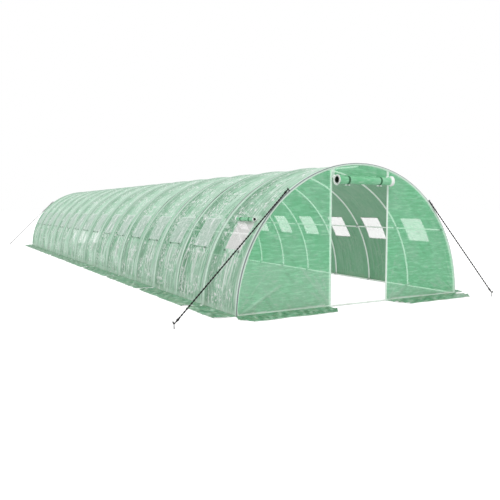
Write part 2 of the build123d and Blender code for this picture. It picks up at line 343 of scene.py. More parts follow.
def dress(piece: bpy.types.Object, material: bpy.types.Material,
          replaced: Sequence[str] = ()) -> bpy.types.Object:
    """Gives a piece its material and its body, and hides the imported nodes that it stands for."""
    piece.data.materials.clear()
    piece.data.materials.append(material)
    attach(piece, BODY)
    if replaced:
        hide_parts(*replaced)
    LOG.info("piece %s: %d faces", piece.name, len(piece.data.polygons))
    return piece


def node_points(name: str) -> Array:
    """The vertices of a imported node."""
    return np.array([v.co for v in frame["nodes"][name].data.vertices], float)


@dataclass(frozen=True)
class Tunnel:
    """Sizes of the tunnel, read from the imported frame."""

    radius: float
    film: float
    end_face: float
    stations: tuple[float, ...]
    seams: tuple[float, ...]
    window_width: float
    window_low: float
    window_high: float
    window_first: dict[Side, float]
    door_edge: float
    lintel: float
    tube: float

    @classmethod
    def from_frame(cls) -> "Tunnel":
        """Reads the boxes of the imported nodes."""
        covers = sorted(n for n in frame["nodes"] if n.startswith("cover_"))
        arches = sorted(n for n in frame["nodes"] if n.startswith("arch_"))
        low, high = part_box(covers[1])
        arch_low, arch_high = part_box(arches[0])
        stations = tuple((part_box(n)[0].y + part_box(n)[1].y) / 2 for n in arches)
        edges = [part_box(n)[0].y for n in covers] + [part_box(covers[-1])[1].y]
        bay = stations[1] - stations[0]
        nets = {side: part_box(f"window_nets_{side.word}") for side in Side}
        net_low, net_high = nets[Side.LEFT]
        width = net_high.y - net_low.y - (len(stations) - 2) * bay
        doorway = node_points("front_end_frame")
        rail_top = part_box("base_rail_left")[1].z
        knee = high.z / 2
        post_feet = doorway[(doorway[:, 2] > 1.01 * rail_top) & (doorway[:, 2] < knee)]
        door_edge = float(np.abs(post_feet[:, 0]).min())
        bar = doorway[(np.abs(doorway[:, 0]) < door_edge - 0.0002) & (doorway[:, 2] > knee)]
        return cls(
            radius=high.x,
            film=high.x - arch_high.x,
            end_face=edges[-1],
            stations=stations,
            seams=tuple(edges),
            window_width=width,
            window_low=math.asin(net_low.z / high.x),
            window_high=math.asin(net_high.z / high.x),
            window_first={side: box[0].y for side, box in nets.items()},
            door_edge=door_edge,
            lintel=float(bar[:, 2].min() + bar[:, 2].max()) / 2,
            tube=arch_high.y - arch_low.y,
        )

    @property
    def bay(self) -> float:
        """Distance between two arches."""
        return self.stations[1] - self.stations[0]

    def windows(self, side: Side) -> list[tuple[float, float]]:
        """Near and far edge of each window on a side."""
        first = self.window_first[side]
        return [(first + n * self.bay, first + n * self.bay + self.window_width)
                for n in range(len(self.stations) - 1)]

    def window_span(self, side: Side) -> tuple[float, float]:
        """Lower and upper angle of the windows on a side, up from +X."""
        if side is Side.RIGHT:
            return self.window_low, self.window_high
        return math.pi - self.window_high, math.pi - self.window_low

    def at(self, angle: Array | float, radius: Array | float, y: Array | float) -> Array:
        """Points at an angle up from +X, a distance from the axis and a place along it."""
        angle, radius, y = np.broadcast_arrays(angle, radius, y)
        return np.stack([radius * np.cos(angle), y, radius * np.sin(angle)], -1)


class Nodes:
    """Short calls that add shader nodes to a node tree."""

    def __init__(self, tree: bpy.types.NodeTree) -> None:
        """Keeps the tree."""
        self.tree = tree

    def add(self, kind: str, inputs: dict | None = None, **settings: object) -> bpy.types.Node:
        """Adds a node.

        Args:
            kind: the node's type name without its ShaderNode prefix.
            inputs: a value or an output socket for each named or numbered input.
            settings: attributes of the node.

        Returns:
            The new node.
        """
        node = self.tree.nodes.new("ShaderNode" + kind)
        for key, value in settings.items():
            setattr(node, key, value)
        for key, value in (inputs or {}).items():
            socket = node.inputs[key]
            if isinstance(value, bpy.types.NodeSocket):
                self.tree.links.new(value, socket)
            else:
                socket.default_value = value
        return node

    def math(self, operation: str, first: object, second: object = 0.0,
             clamp: bool = False) -> bpy.types.NodeSocket:
        """Adds a Math node and returns its output."""
        return self.add("Math", {0: first, 1: second}, operation=operation, use_clamp=clamp).outputs[0]

    def times(self, first: object, second: object) -> bpy.types.NodeSocket:
        """Multiplies two values and returns the result."""
        return self.math("MULTIPLY", first, second)

    def ramp(self, value: object, low: float, high: float, start: float = 0.0,
             stop: float = 1.0) -> bpy.types.NodeSocket:
        """Maps low..high to start..stop with clamping and returns the result."""
        wanted = {"Value": value, "From Min": low, "From Max": high, "To Min": start, "To Max": stop}
        return self.add("MapRange", wanted, interpolation_type="SMOOTHSTEP").outputs[0]

    def mix(self, share: object, first: object, second: object) -> bpy.types.NodeSocket:
        """Mixes two colours and returns the result."""
        node = self.add("Mix", data_type="RGBA")
        for socket, value in ((node.inputs[0], share), (node.inputs[6], first), (node.inputs[7], second)):
            if isinstance(value, bpy.types.NodeSocket):
                self.tree.links.new(value, socket)
            else:
                socket.default_value = value
        return node.outputs[2]

    def noise(self, vector: object, scale: float, detail: float = 3.0,
              rough: float = 0.5) -> bpy.types.NodeSocket:
        """Adds a noise texture and returns its value."""
        wanted = {"Vector": vector, "Scale": scale, "Detail": detail, "Roughness": rough}
        return self.add("TexNoise", wanted).outputs[0]

    def stretched(self, vector: object, scale: object) -> bpy.types.NodeSocket:
        """Multiplies a vector by another one, part by part."""
        return self.add("VectorMath", {0: vector, 1: scale}, operation="MULTIPLY").outputs[0]

    def scaled(self, vector: object, scale: object) -> bpy.types.NodeSocket:
        """Multiplies a vector by a number."""
        return self.add("VectorMath", {0: vector, "Scale": scale}, operation="SCALE").outputs[0]


def paint(red: int, green: int, blue: int) -> Colour:
    """Linear colour of a screen colour given as three numbers up to 255."""
    def linear(value: int) -> float:
        share = value / 255
        return share / 12.92 if share <= 0.04045 else ((share + 0.055) / 1.055) ** 2.4
    return linear(red), linear(green), linear(blue), 1.0


SOIL = paint(120, 108, 84)
DUST = paint(168, 164, 140)
# white of the painted highlights on crease ridges and of the painted glints
HIGHLIGHT_WHITE = paint(252, 254, 252)


class Effects:
    """Node groups that several finishes share."""

    def __init__(self) -> None:
        """Builds each group once."""
        self.scrim = self._scrim()
        self.crumple = self._crumple()
        self.grain = self._grain()
        self.soil = self._soil()

    @staticmethod
    def _start(name: str, inputs: dict[str, tuple[str, object]],
               outputs: dict[str, str]) -> tuple[bpy.types.NodeTree, Nodes, bpy.types.Node, bpy.types.Node]:
        """Starts a node group with its sockets."""
        tree = bpy.data.node_groups.new(name, "ShaderNodeTree")
        for label, (kind, default) in inputs.items():
            socket = tree.interface.new_socket(label, in_out="INPUT", socket_type="NodeSocket" + kind)
            if default is not None:
                socket.default_value = default
        for label, kind in outputs.items():
            tree.interface.new_socket(label, in_out="OUTPUT", socket_type="NodeSocket" + kind)
        return tree, Nodes(tree), tree.nodes.new("NodeGroupInput"), tree.nodes.new("NodeGroupOutput")

    def _scrim(self) -> bpy.types.NodeTree:
        """Square grid of reinforcing threads under flat woven tapes."""
        tree, n, given, result = self._start(
            "reinforced weave",
            {"Vector": ("Vector", None), "Pitch": ("Float", 0.012), "Tape": ("Float", 0.003)},
            {"Thread": "Float", "Height": "Float"})
        parts = n.add("SeparateXYZ", {0: given.outputs["Vector"]})
        threads, tapes = [], []
        for axis in (0, 1):
            turn = n.math("DIVIDE", parts.outputs[axis], given.outputs["Pitch"])
            near = n.math("PINGPONG", turn, 0.5)
            threads.append(n.ramp(near, 0.04, 0.14, 1.0, 0.0))
            tape = n.math("DIVIDE", parts.outputs[axis], given.outputs["Tape"])
            tapes.append(n.math("PINGPONG", tape, 0.5))
        thread = n.math("MAXIMUM", *threads)
        weave = n.times(*tapes)
        tree.links.new(thread, result.inputs["Thread"])
        tree.links.new(n.math("ADD", n.times(thread, 0.7), weave), result.inputs["Height"])
        return tree

    def _crumple(self) -> bpy.types.NodeTree:
        """Haze, long pull lines and short flecks of film that was folded and pulled tight; the flecks mark
        where the film finishes paint glints.
        """
        tree, n, given, result = self._start(
            "film crumple",
            {"Vector": ("Vector", None), "Stretch": ("Vector", (30.0, 2.0, 1.0))},
            {"Haze": "Float", "Streak": "Float", "Fleck": "Float"})
        flat = given.outputs["Vector"]
        pulled = n.stretched(flat, given.outputs["Stretch"])
        tree.links.new(n.ramp(n.noise(flat, 2.2, 5.0, 0.6), 0.35, 0.68), result.inputs["Haze"])
        tree.links.new(n.ramp(n.noise(pulled, 1.0, 4.0, 0.65), 0.46, 0.64), result.inputs["Streak"])
        short = n.noise(n.stretched(pulled, (1.9, 4.5, 1.0)), 1.0, 2.0, 0.6)
        patch = n.ramp(n.noise(flat, 3.2, 2.0), 0.42, 0.56)
        tree.links.new(n.times(n.ramp(short, 0.52, 0.60), patch), result.inputs["Fleck"])
        return tree

    def _grain(self) -> bpy.types.NodeTree:
        """Fine grain and worn spots of a coated tube."""
        tree, n, given, result = self._start(
            "coating grain",
            {"Vector": ("Vector", None), "Scale": ("Float", 1.0)},
            {"Grain": "Float", "Worn": "Float"})
        spot = n.scaled(given.outputs["Vector"], given.outputs["Scale"])
        tree.links.new(n.noise(spot, 180.0, 2.0), result.inputs["Grain"])
        tree.links.new(n.ramp(n.noise(spot, 9.0, 6.0, 0.7), 0.60, 0.74), result.inputs["Worn"])
        return tree

    def _soil(self) -> bpy.types.NodeTree:
        """Splashed soil near the ground."""
        tree, n, given, result = self._start(
            "ground splash", {"Vector": ("Vector", None), "Height": ("Float", 0.16)}, {"Soil": "Float"})
        place = given.outputs["Vector"]
        share = n.math("DIVIDE", n.add("SeparateXYZ", {0: place}).outputs[2], given.outputs["Height"])
        spots = n.ramp(n.noise(place, 7.0, 6.0, 0.65), 0.38, 0.72)
        tree.links.new(n.times(n.ramp(share, 0.0, 1.0, 1.0, 0.0), spots), result.inputs["Soil"])
        return tree


@dataclass(frozen=True)
class FilmFinish:
    """Translucent reinforced film."""

    name: str
    colour: Colour
    pale: Colour
    # painted shade of the film's inner face, for the dim inside of the tunnel
    inner: Colour
    # painted shade colour, for crease valleys and for the far half of each bay
    deep: Colour
    # colour of doubled film at hems and seams, also the painted light beside the arches
    hem_colour: Colour = (0.80, 0.90, 0.83, 1.0)
    # dark colour of the painted shade line beside each arch
    arch_line: Colour = (0.006, 0.042, 0.018, 1.0)
    opacity: float = 0.66
    slant_opacity: float = 0.97
    back_opacity: float = 0.97
    seam_opacity: float = 0.18
    light_let_in: float = 0.68
    roughness: float = 0.30
    haze: float = 0.35
    # strength of the painted highlights along the pull lines
    streak: float = 0.45
    # strength of the painted white glints on crumpled film
    fleck: float = 0.0
    # strengths of the painted highlight on crease ridges and of the painted shade in crease valleys
    ridge: float = 0.55
    valley: float = 0.45
    # strength of the painted sky reflection that pales the roof
    roof: float = 0.0
    hem: float = 0.5
    # how far the inner face takes its painted shade colour
    inside: float = 0.88
    thread: float = 0.18
    soil: float = 0.30
    # painted light on the near half and painted shade on the far half of each bay, the pale band over each
    # arch, and the painted shade line beside each arch on the walls and the roof, shifted beyond the arch
    near_pale: float = 0.24
    far_deep: float = 0.36
    band_pale: float = 0.44
    line_wall: float = 0.26
    line_roof: float = 0.70
    line_shift: float = 0.018
    stretch: tuple[float, float, float] = (30.0, 2.0, 1.0)
    bump: float = 0.25
    pitch: float = 0.012
    arches: tuple[float, float] | None = None

    def make(self, effects: Effects) -> bpy.types.Material:
        """Builds the material."""
        material = bpy.data.materials.new(self.name)
        material.use_nodes = True
        n = Nodes(material.node_tree)
        shader = material.node_tree.nodes["Principled BSDF"]
        flat = n.add("UVMap", uv_map="flat").outputs[0]
        place = n.add("TexCoord").outputs["Object"]
        layers = n.add("Attribute", attribute_name="layers").outputs["Fac"]
        extra = n.math("SUBTRACT", layers, 1.0, clamp=True)
        crest = n.add("Attribute", attribute_name="crest").outputs["Fac"]
        scrim = n.add("Group", node_tree=effects.scrim)
        crumple = n.add("Group", node_tree=effects.crumple)
        n.tree.links.new(flat, scrim.inputs["Vector"])
        n.tree.links.new(flat, crumple.inputs["Vector"])
        scrim.inputs["Pitch"].default_value = self.pitch
        crumple.inputs["Stretch"].default_value = self.stretch
        inside = n.add("NewGeometry").outputs["Backfacing"]
        # painted white glints
        fleck = n.times(crumple.outputs["Fleck"], self.fleck)
        tone = n.mix(n.times(crumple.outputs["Haze"], self.haze), self.colour, self.pale)
        # painted highlights along the pull lines
        tone = n.mix(n.times(crumple.outputs["Streak"], self.streak), tone, self.pale)
        if self.arches:
            tone, clear = self.arch_tone(n, place, tone)
            fleck = n.times(fleck, clear)
        # painted shade in crease valleys, then painted highlight on crease ridges
        tone = n.mix(n.times(n.ramp(crest, -0.15, -0.85), self.valley), tone, self.deep)
        tone = n.mix(n.times(n.ramp(crest, 0.25, 0.95), self.ridge), tone, HIGHLIGHT_WHITE)
        tone = n.mix(fleck, tone, HIGHLIGHT_WHITE)
        tone = n.mix(n.times(extra, self.hem), tone, self.hem_colour)
        # painted shade on the inner face
        tone = n.mix(n.times(inside, self.inside), tone, self.inner)
        tone = n.mix(n.times(scrim.outputs["Thread"], self.thread), tone, self.pale)
        soil = n.add("Group", {"Vector": place}, node_tree=effects.soil).outputs["Soil"]
        tone = n.mix(n.times(soil, self.soil), tone, DUST)
        n.tree.links.new(tone, shader.inputs["Base Color"])
        covering = n.math("ADD", n.times(extra, self.seam_opacity), n.times(scrim.outputs["Thread"], 0.10))
        covering = n.math("ADD", covering, n.times(crumple.outputs["Streak"], 0.12))
        n.tree.links.new(self.see_through(n, covering, inside), shader.inputs["Alpha"])
        rough = n.math("ADD", self.roughness, n.times(crumple.outputs["Haze"], 0.16))
        n.tree.links.new(rough, shader.inputs["Roughness"])
        height = n.math("ADD", scrim.outputs["Height"], n.times(crumple.outputs["Streak"], 1.5))
        relief = n.add("Bump", {"Strength": self.bump, "Distance": 0.002, "Height": height})
        n.tree.links.new(relief.outputs[0], shader.inputs["Normal"])
        return material

    def see_through(self, n: Nodes, covering: bpy.types.NodeSocket,
                    inside: bpy.types.NodeSocket) -> bpy.types.NodeSocket:
        """Opacity that grows at a slant and on the inner face, while light still comes in through it."""
        fresnel = n.add("Fresnel", {"IOR": 1.45}).outputs[0]
        slant = n.ramp(fresnel, 0.10, 0.28, self.opacity, self.slant_opacity)
        alpha = n.math("MAXIMUM", slant, n.times(inside, self.back_opacity))
        alpha = n.math("ADD", alpha, covering, clamp=True)
        path = n.add("LightPath")
        lighting = n.math("MAXIMUM", path.outputs["Is Shadow Ray"], path.outputs["Is Diffuse Ray"])
        return n.times(alpha, n.math("SUBTRACT", 1.0, n.times(lighting, self.light_let_in)))

    def arch_tone(self, n: Nodes, place: bpy.types.NodeSocket,
                  tone: bpy.types.NodeSocket) -> tuple[bpy.types.NodeSocket, bpy.types.NodeSocket]:
        """Paints a dark shade line beside each arch in a pale band where the tube shows through, painted
        light on the near half and painted shade on the far half of each bay, and a painted sky reflection
        that pales the roof.

        Args:
            n: the material's nodes.
            place: coordinates of the shaded point.
            tone: the film's colour so far.

        Returns:
            The new colour, and a mask that is 1 away from the arches.
        """
        first, bay = self.arches
        parts = n.add("SeparateXYZ", {0: place})
        turn = n.math("DIVIDE", n.math("SUBTRACT", parts.outputs[1], first + self.line_shift), bay)
        away = n.times(n.math("PINGPONG", turn, 0.5), bay)
        share = n.math("FRACT", turn)
        # painted sky reflection: the film pales towards the top of the roof
        roof = n.ramp(parts.outputs[2], 0.95, 1.60)
        tone = n.mix(n.times(roof, self.roof), tone, self.pale)
        # painted light on the near half of each bay
        near_lit = n.times(n.ramp(share, 0.05, 0.22), n.ramp(share, 0.42, 0.62, 1.0, 0.0))
        tone = n.mix(n.times(near_lit, self.near_pale), tone, self.hem_colour)
        # painted shade on the far half of each bay
        far_shaded = n.times(n.ramp(share, 0.58, 0.80), n.ramp(share, 0.90, 0.97, 1.0, 0.0))
        tone = n.mix(n.times(far_shaded, self.far_deep), tone, self.deep)
        # pale band over each arch: partly the tube and doubled film showing through, partly painted highlight
        band = n.ramp(away, 0.050, 0.075, 1.0, 0.0)
        tone = n.mix(n.times(band, self.band_pale), tone, self.hem_colour)
        # painted shade line just beyond each arch, stronger on the roof
        line = n.ramp(away, 0.024, 0.038, 1.0, 0.0)
        strength = n.math("ADD", n.times(roof, self.line_roof), self.line_wall)
        tone = n.mix(n.times(line, strength), tone, self.arch_line)
        return tone, n.ramp(away, 0.09, 0.20)


@dataclass(frozen=True)
class SteelFinish:
    """Coated or plated steel, or moulded plastic."""

    name: str
    colour: Colour
    worn: Colour
    metallic: float = 0.0
    roughness: float = 0.38
    soil: float = 0.3
    glint_in_film: float = 0.0

    def make(self, effects: Effects) -> bpy.types.Material:
        """Builds the material, which glows in its own colour, as a painted light, where it is seen through
        the film.
        """
        material = bpy.data.materials.new(self.name)
        material.use_nodes = True
        n = Nodes(material.node_tree)
        shader = material.node_tree.nodes["Principled BSDF"]
        path = n.add("LightPath")
        filmed = n.math("MINIMUM", path.outputs["Transparent Depth"], 1.0)
        filmed = n.times(filmed, path.outputs["Is Camera Ray"])
        # painted glow where the tube is seen through the film
        n.tree.links.new(n.times(filmed, self.glint_in_film), shader.inputs["Emission Strength"])
        shader.inputs["Emission Color"].default_value = self.colour
        place = n.add("TexCoord").outputs["Object"]
        grain = n.add("Group", {"Vector": place}, node_tree=effects.grain)
        soil = n.add("Group", {"Vector": place, "Height": 0.12}, node_tree=effects.soil).outputs["Soil"]
        tone = n.mix(n.times(grain.outputs["Worn"], 0.5), self.colour, self.worn)
        tone = n.mix(n.times(soil, self.soil), tone, SOIL)
        n.tree.links.new(tone, shader.inputs["Base Color"])
        shader.inputs["Metallic"].default_value = self.metallic
        rough = n.math("ADD", self.roughness, n.times(grain.outputs["Grain"], 0.18))
        n.tree.links.new(rough, shader.inputs["Roughness"])
        bump = n.add("Bump", {"Strength": 0.15, "Distance": 0.0006, "Height": grain.outputs["Grain"]})
        n.tree.links.new(bump.outputs[0], shader.inputs["Normal"])
        return material


@dataclass(frozen=True)
class NetFinish:
    """Fine woven insect net."""

    name: str
    colour: Colour
    shade: Colour
    mesh: float = 0.004
    opacity: float = 0.66
    thread: float = 0.22
    clearer_inside: float = 0.25
    roughness: float = 0.75

    def make(self, effects: Effects) -> bpy.types.Material:
        """Builds the material."""
        material = bpy.data.materials.new(self.name)
        material.use_nodes = True
        n = Nodes(material.node_tree)
        shader = material.node_tree.nodes["Principled BSDF"]
        flat = n.add("UVMap", uv_map="flat").outputs[0]
        weave = {"Vector": flat, "Pitch": self.mesh, "Tape": self.mesh / 4}
        scrim = n.add("Group", weave, node_tree=effects.scrim)
        crumple = n.add("Group", {"Vector": flat, "Stretch": (14.0, 5.0, 1.0)}, node_tree=effects.crumple)
        tone = n.mix(n.times(crumple.outputs["Haze"], 0.5), self.colour, self.shade)
        tone = n.mix(n.times(crumple.outputs["Streak"], 0.5), tone, self.shade)
        n.tree.links.new(tone, shader.inputs["Base Color"])
        alpha = n.math("ADD", self.opacity, n.times(scrim.outputs["Thread"], self.thread), clamp=True)
        inside = n.add("NewGeometry").outputs["Backfacing"]
        alpha = n.times(alpha, n.math("SUBTRACT", 1.0, n.times(inside, self.clearer_inside)))
        n.tree.links.new(alpha, shader.inputs["Alpha"])
        shader.inputs["Roughness"].default_value = self.roughness
        bump = n.add("Bump", {"Strength": 0.4, "Distance": 0.001, "Height": scrim.outputs["Height"]})
        n.tree.links.new(bump.outputs[0], shader.inputs["Normal"])
        return material


@dataclass(frozen=True)
class CordFinish:
    """Braided cord or woven strap."""

    name: str
    colour: Colour
    light: Colour
    scale: float = 260.0
    soil: float = 0.12

    def make(self, effects: Effects) -> bpy.types.Material:
        """Builds the material."""
        material = bpy.data.materials.new(self.name)
        material.use_nodes = True
        n = Nodes(material.node_tree)
        shader = material.node_tree.nodes["Principled BSDF"]
        place = n.add("TexCoord").outputs["Object"]
        fibre = n.noise(place, self.scale, 3.0)
        soil = n.add("Group", {"Vector": place, "Height": 0.12}, node_tree=effects.soil).outputs["Soil"]
        tone = n.mix(n.ramp(fibre, 0.4, 0.7), self.colour, self.light)
        tone = n.mix(n.times(soil, self.soil), tone, SOIL)
        n.tree.links.new(tone, shader.inputs["Base Color"])
        shader.inputs["Roughness"].default_value = 0.85
        bump = n.add("Bump", {"Strength": 0.5, "Distance": 0.001, "Height": fibre})
        n.tree.links.new(bump.outputs[0], shader.inputs["Normal"])
        return material


@dataclass
class Finishes:
    """All materials of the greenhouse."""

    tunnel: Tunnel
    effects: Effects = field(default_factory=Effects)
    made: dict[str, bpy.types.Material] = field(default_factory=dict)

    def __post_init__(self) -> None:
        """Builds each material once."""
        arches = (self.tunnel.stations[0], self.tunnel.bay)
        # the second colour is painted shade, the third the inner face's painted shade
        pale, deep, inner = paint(198, 234, 212), paint(38, 98, 64), paint(92, 160, 116)
        wanted = [
            FilmFinish("cover film", paint(88, 172, 120), pale, inner, deep, hem_colour=paint(218, 238, 226),
                       streak=0.52, fleck=1.0, roof=0.16, stretch=(24.0, 3.6, 1.0), arches=arches),
            FilmFinish("panel film", paint(122, 230, 166), paint(196, 244, 216), inner, paint(72, 150, 104),
                       hem_colour=paint(240, 250, 244), opacity=0.48, haze=0.3, streak=0.20, fleck=0.22,
                       ridge=0.16, valley=0.30, hem=0.9, stretch=(5.0, 26.0, 1.0)),
            FilmFinish("skirt film", paint(66, 140, 96), paint(146, 200, 166), paint(66, 140, 96),
                       paint(36, 84, 54), opacity=1.0, light_let_in=0.0, haze=0.5, ridge=0.22,
                       stretch=(9.0, 14.0, 1.0)),
            FilmFinish("rolled film", paint(96, 186, 130), paint(188, 238, 208), paint(96, 186, 130),
                       paint(14, 26, 18), hem_colour=paint(250, 253, 250), opacity=1.0, light_let_in=0.0,
                       roughness=0.22, haze=0.2, streak=0.3, ridge=0.2, valley=1.0, hem=1.0,
                       stretch=(5.0, 26.0, 1.0)),
            FilmFinish("flap film", paint(140, 184, 158), paint(212, 222, 216), inner, paint(96, 146, 116),
                       hem_colour=paint(222, 236, 228), opacity=0.80, streak=0.5, fleck=0.4, hem=0.7,
                       stretch=(14.0, 22.0, 1.0)),
            FilmFinish("film tape", paint(200, 230, 210), paint(236, 248, 240), paint(140, 192, 160),
                       paint(92, 88, 104), opacity=0.96, streak=0.3, valley=0.9, stretch=(60.0, 3.0, 1.0)),
            NetFinish("insect net", paint(252, 250, 250), paint(232, 228, 228)),
            SteelFinish("coated steel", paint(238, 248, 240), paint(248, 251, 248), glint_in_film=0.30),
            SteelFinish("plated steel", paint(176, 184, 180), paint(206, 210, 206), 0.9, 0.32),
            SteelFinish("dark steel", paint(22, 23, 23), paint(48, 47, 44), 0.0, 0.5, 0.08),
            SteelFinish("white plastic", paint(244, 250, 246), paint(214, 222, 216), 0.0, 0.45),
            SteelFinish("dark plastic", paint(30, 34, 32), paint(60, 66, 60), 0.0, 0.5),
            CordFinish("black rope", paint(10, 11, 10), paint(36, 37, 35)),
            CordFinish("green strap", paint(44, 96, 64), paint(80, 140, 102)),
        ]
        for finish in wanted:
            self.made[finish.name] = finish.make(self.effects)

    def __getitem__(self, name: str) -> bpy.types.Material:
        """The material of a name."""
        return self.made[name]


@dataclass
class CoverFilm:
    """The film cover: nine widths that sag a little between the arches and crease over the side walls."""

    tunnel: Tunnel
    finishes: Finishes
    step_along: float = 0.0125
    step_round: float = 0.050
    sag: float = 0.022
    crease: float = 0.0070
    crease_top: float = 1.10
    lap: float = 0.022
    border: float = 0.020
    foot_hem: float = 0.05
    stand_off: float = 0.001
    held_by_arch: float = 0.045
    folds_each: int = 6

    def folds(self, angle: Array, y: Array) -> Array:
        """Folds that fan down from the lower edge of each window, positive on a ridge."""
        t = self.tunnel
        total = np.zeros(np.broadcast(angle, y).shape)
        foot = t.radius * np.minimum(angle, math.pi - angle)
        top = t.radius * t.window_low
        for side in Side:
            draw = np.random.default_rng(40 + side.value)
            here = (angle < math.pi / 2) if side is Side.RIGHT else (angle > math.pi / 2)
            for near, far in t.windows(side):
                middle = (near + far) / 2
                starts = [near + 0.01, far - 0.01, *draw.uniform(near, far, self.folds_each - 2)]
                for start in starts:
                    bottom = top * draw.uniform(0.20, 0.62)
                    stop = middle + (start - middle) * draw.uniform(0.05, 0.5) + draw.uniform(-0.06, 0.06)
                    wide, tall = draw.uniform(0.011, 0.020), draw.uniform(0.7, 1.5)
                    if y.max() < near - 0.2 or y.min() > far + 0.2:
                        continue
                    down = (top - foot) / (top - bottom)
                    fade = np.sin(math.pi * np.clip(down, 0.0, 1.0)) ** 0.5
                    line = start + (stop - start) * down
                    total = total + here * fade * tall * np.exp(-(((y - line) / wide) ** 2))
        return total

    def relief(self, angle: Array, y: Array) -> Array:
        """Creases of the film, from about -1 in a valley to 1 on a ridge."""
        t = self.tunnel
        height = t.radius * np.sin(angle)
        arc = t.radius * angle
        wall = 1.0 - smoothstep(self.crease_top - 0.25, self.crease_top + 0.12, height)
        roof = smoothstep(self.crease_top, self.crease_top + 0.5, height)
        fine = ripple(y, arc, 3, (0.055, 0.15), (0.7, 3.0), 12)
        broad = ripple(y, arc, 5, (0.20, 0.55), (0.5, 1.8), 8)
        faint = ripple(y, arc, 8, (0.06, 0.30), (0.4, 1.6), 12)
        crumpled = ripple(y, arc, 14, (0.05, 0.12), (0.10, 0.30), 12)
        patch = np.clip(0.55 + 0.75 * ripple(y, arc, 11, (0.6, 1.8), (0.6, 2.0), 6), 0.0, 1.5)
        low = 1.0 - smoothstep(0.10, 0.42, height)
        gather = fine * patch * wall + 0.5 * broad * (0.35 + 0.65 * wall) + 0.28 * faint * (0.5 + roof)
        gather = gather + 0.5 * crumpled * low * patch + self.folds(angle, y)
        return gather * self.free(y) * smoothstep(0.0, 0.10, height)

    def free(self, y: Array) -> Array:
        """0 over the arches and past the last ones, 1 where the film hangs free."""
        t = self.tunnel
        place = (y - t.stations[0]) / t.bay
        share = place - np.floor(place)
        inside = (y > t.stations[0]) & (y < t.stations[-1])
        edge = np.minimum(share, 1.0 - share) * t.bay
        return np.where(inside, 1.0 - np.exp(-((edge / self.held_by_arch) ** 2)), 0.0)

    def surface(self, angle: Array, y: Array) -> Array:
        """Distance of the film from the tunnel's axis."""
        t = self.tunnel
        place = (y - t.stations[0]) / t.bay
        share = np.clip(place, 0.0, len(t.stations) - 1.0) % 1.0
        roof = smoothstep(self.crease_top, self.crease_top + 0.5, t.radius * np.sin(angle))
        hang = 4.0 * share * (1.0 - share) * (0.55 + 0.45 * roof)
        return t.radius - self.stand_off - self.sag * hang + self.crease * self.relief(angle, y)

    def build(self) -> None:
        """Makes and dresses the nine widths."""
        t = self.tunnel
        spans = {side: t.window_span(side) for side in Side}
        rim = self.border / t.radius
        bounds = [edge + shift for span in spans.values()
                  for edge, shift in ((span[0], -rim), (span[0], 0), (span[1], 0), (span[1], rim))]
        for number, (near, far) in enumerate(zip(t.seams, t.seams[1:]), start=1):
            holes = [(spans[side], window) for side in Side for window in t.windows(side)
                     if near < window[0] < far]
            kept = [edge for _, window in holes for edge in window]
            along = steps(near, far, self.step_along, kept)
            around = steps(0.0, math.pi, self.step_round / t.radius, bounds)
            y, angle = np.meshgrid(along, around)
            points = t.at(angle, self.surface(angle, y), y)
            middle_y, middle_angle = (along[:-1] + along[1:]) / 2, (around[:-1] + around[1:]) / 2
            keep = np.ones((len(around) - 1, len(along) - 1), bool)
            seam = np.minimum(np.abs(y - near), np.abs(y - far)) < self.lap
            at_foot = t.radius * np.sin(angle) < self.foot_hem
            layers = 1.0 + SECOND_LAYER * seam + SECOND_LAYER * at_foot
            for (low, high), (start, stop) in holes:
                rows = (middle_angle > low) & (middle_angle < high)
                columns = (middle_y > start) & (middle_y < stop)
                keep[np.ix_(rows, columns)] = False
                framed = (angle > low - 1.1 * rim) & (angle < high + 1.1 * rim)
                framed &= (y > start - self.border) & (y < stop + self.border)
                layers = np.maximum(layers, 1.0 + SECOND_LAYER * framed)
            skin = Skin()
            flat = np.stack([y, t.radius * angle], -1)
            # the creases also set painted highlights on their ridges and painted shade in their valleys
            skin.add_grid(points, flat, layers, self.relief(angle, y), keep)
            piece = skin.build(f"cover_film_{number:02d}")
            dress(piece, self.finishes["cover film"], [f"cover_{number:02d}"])


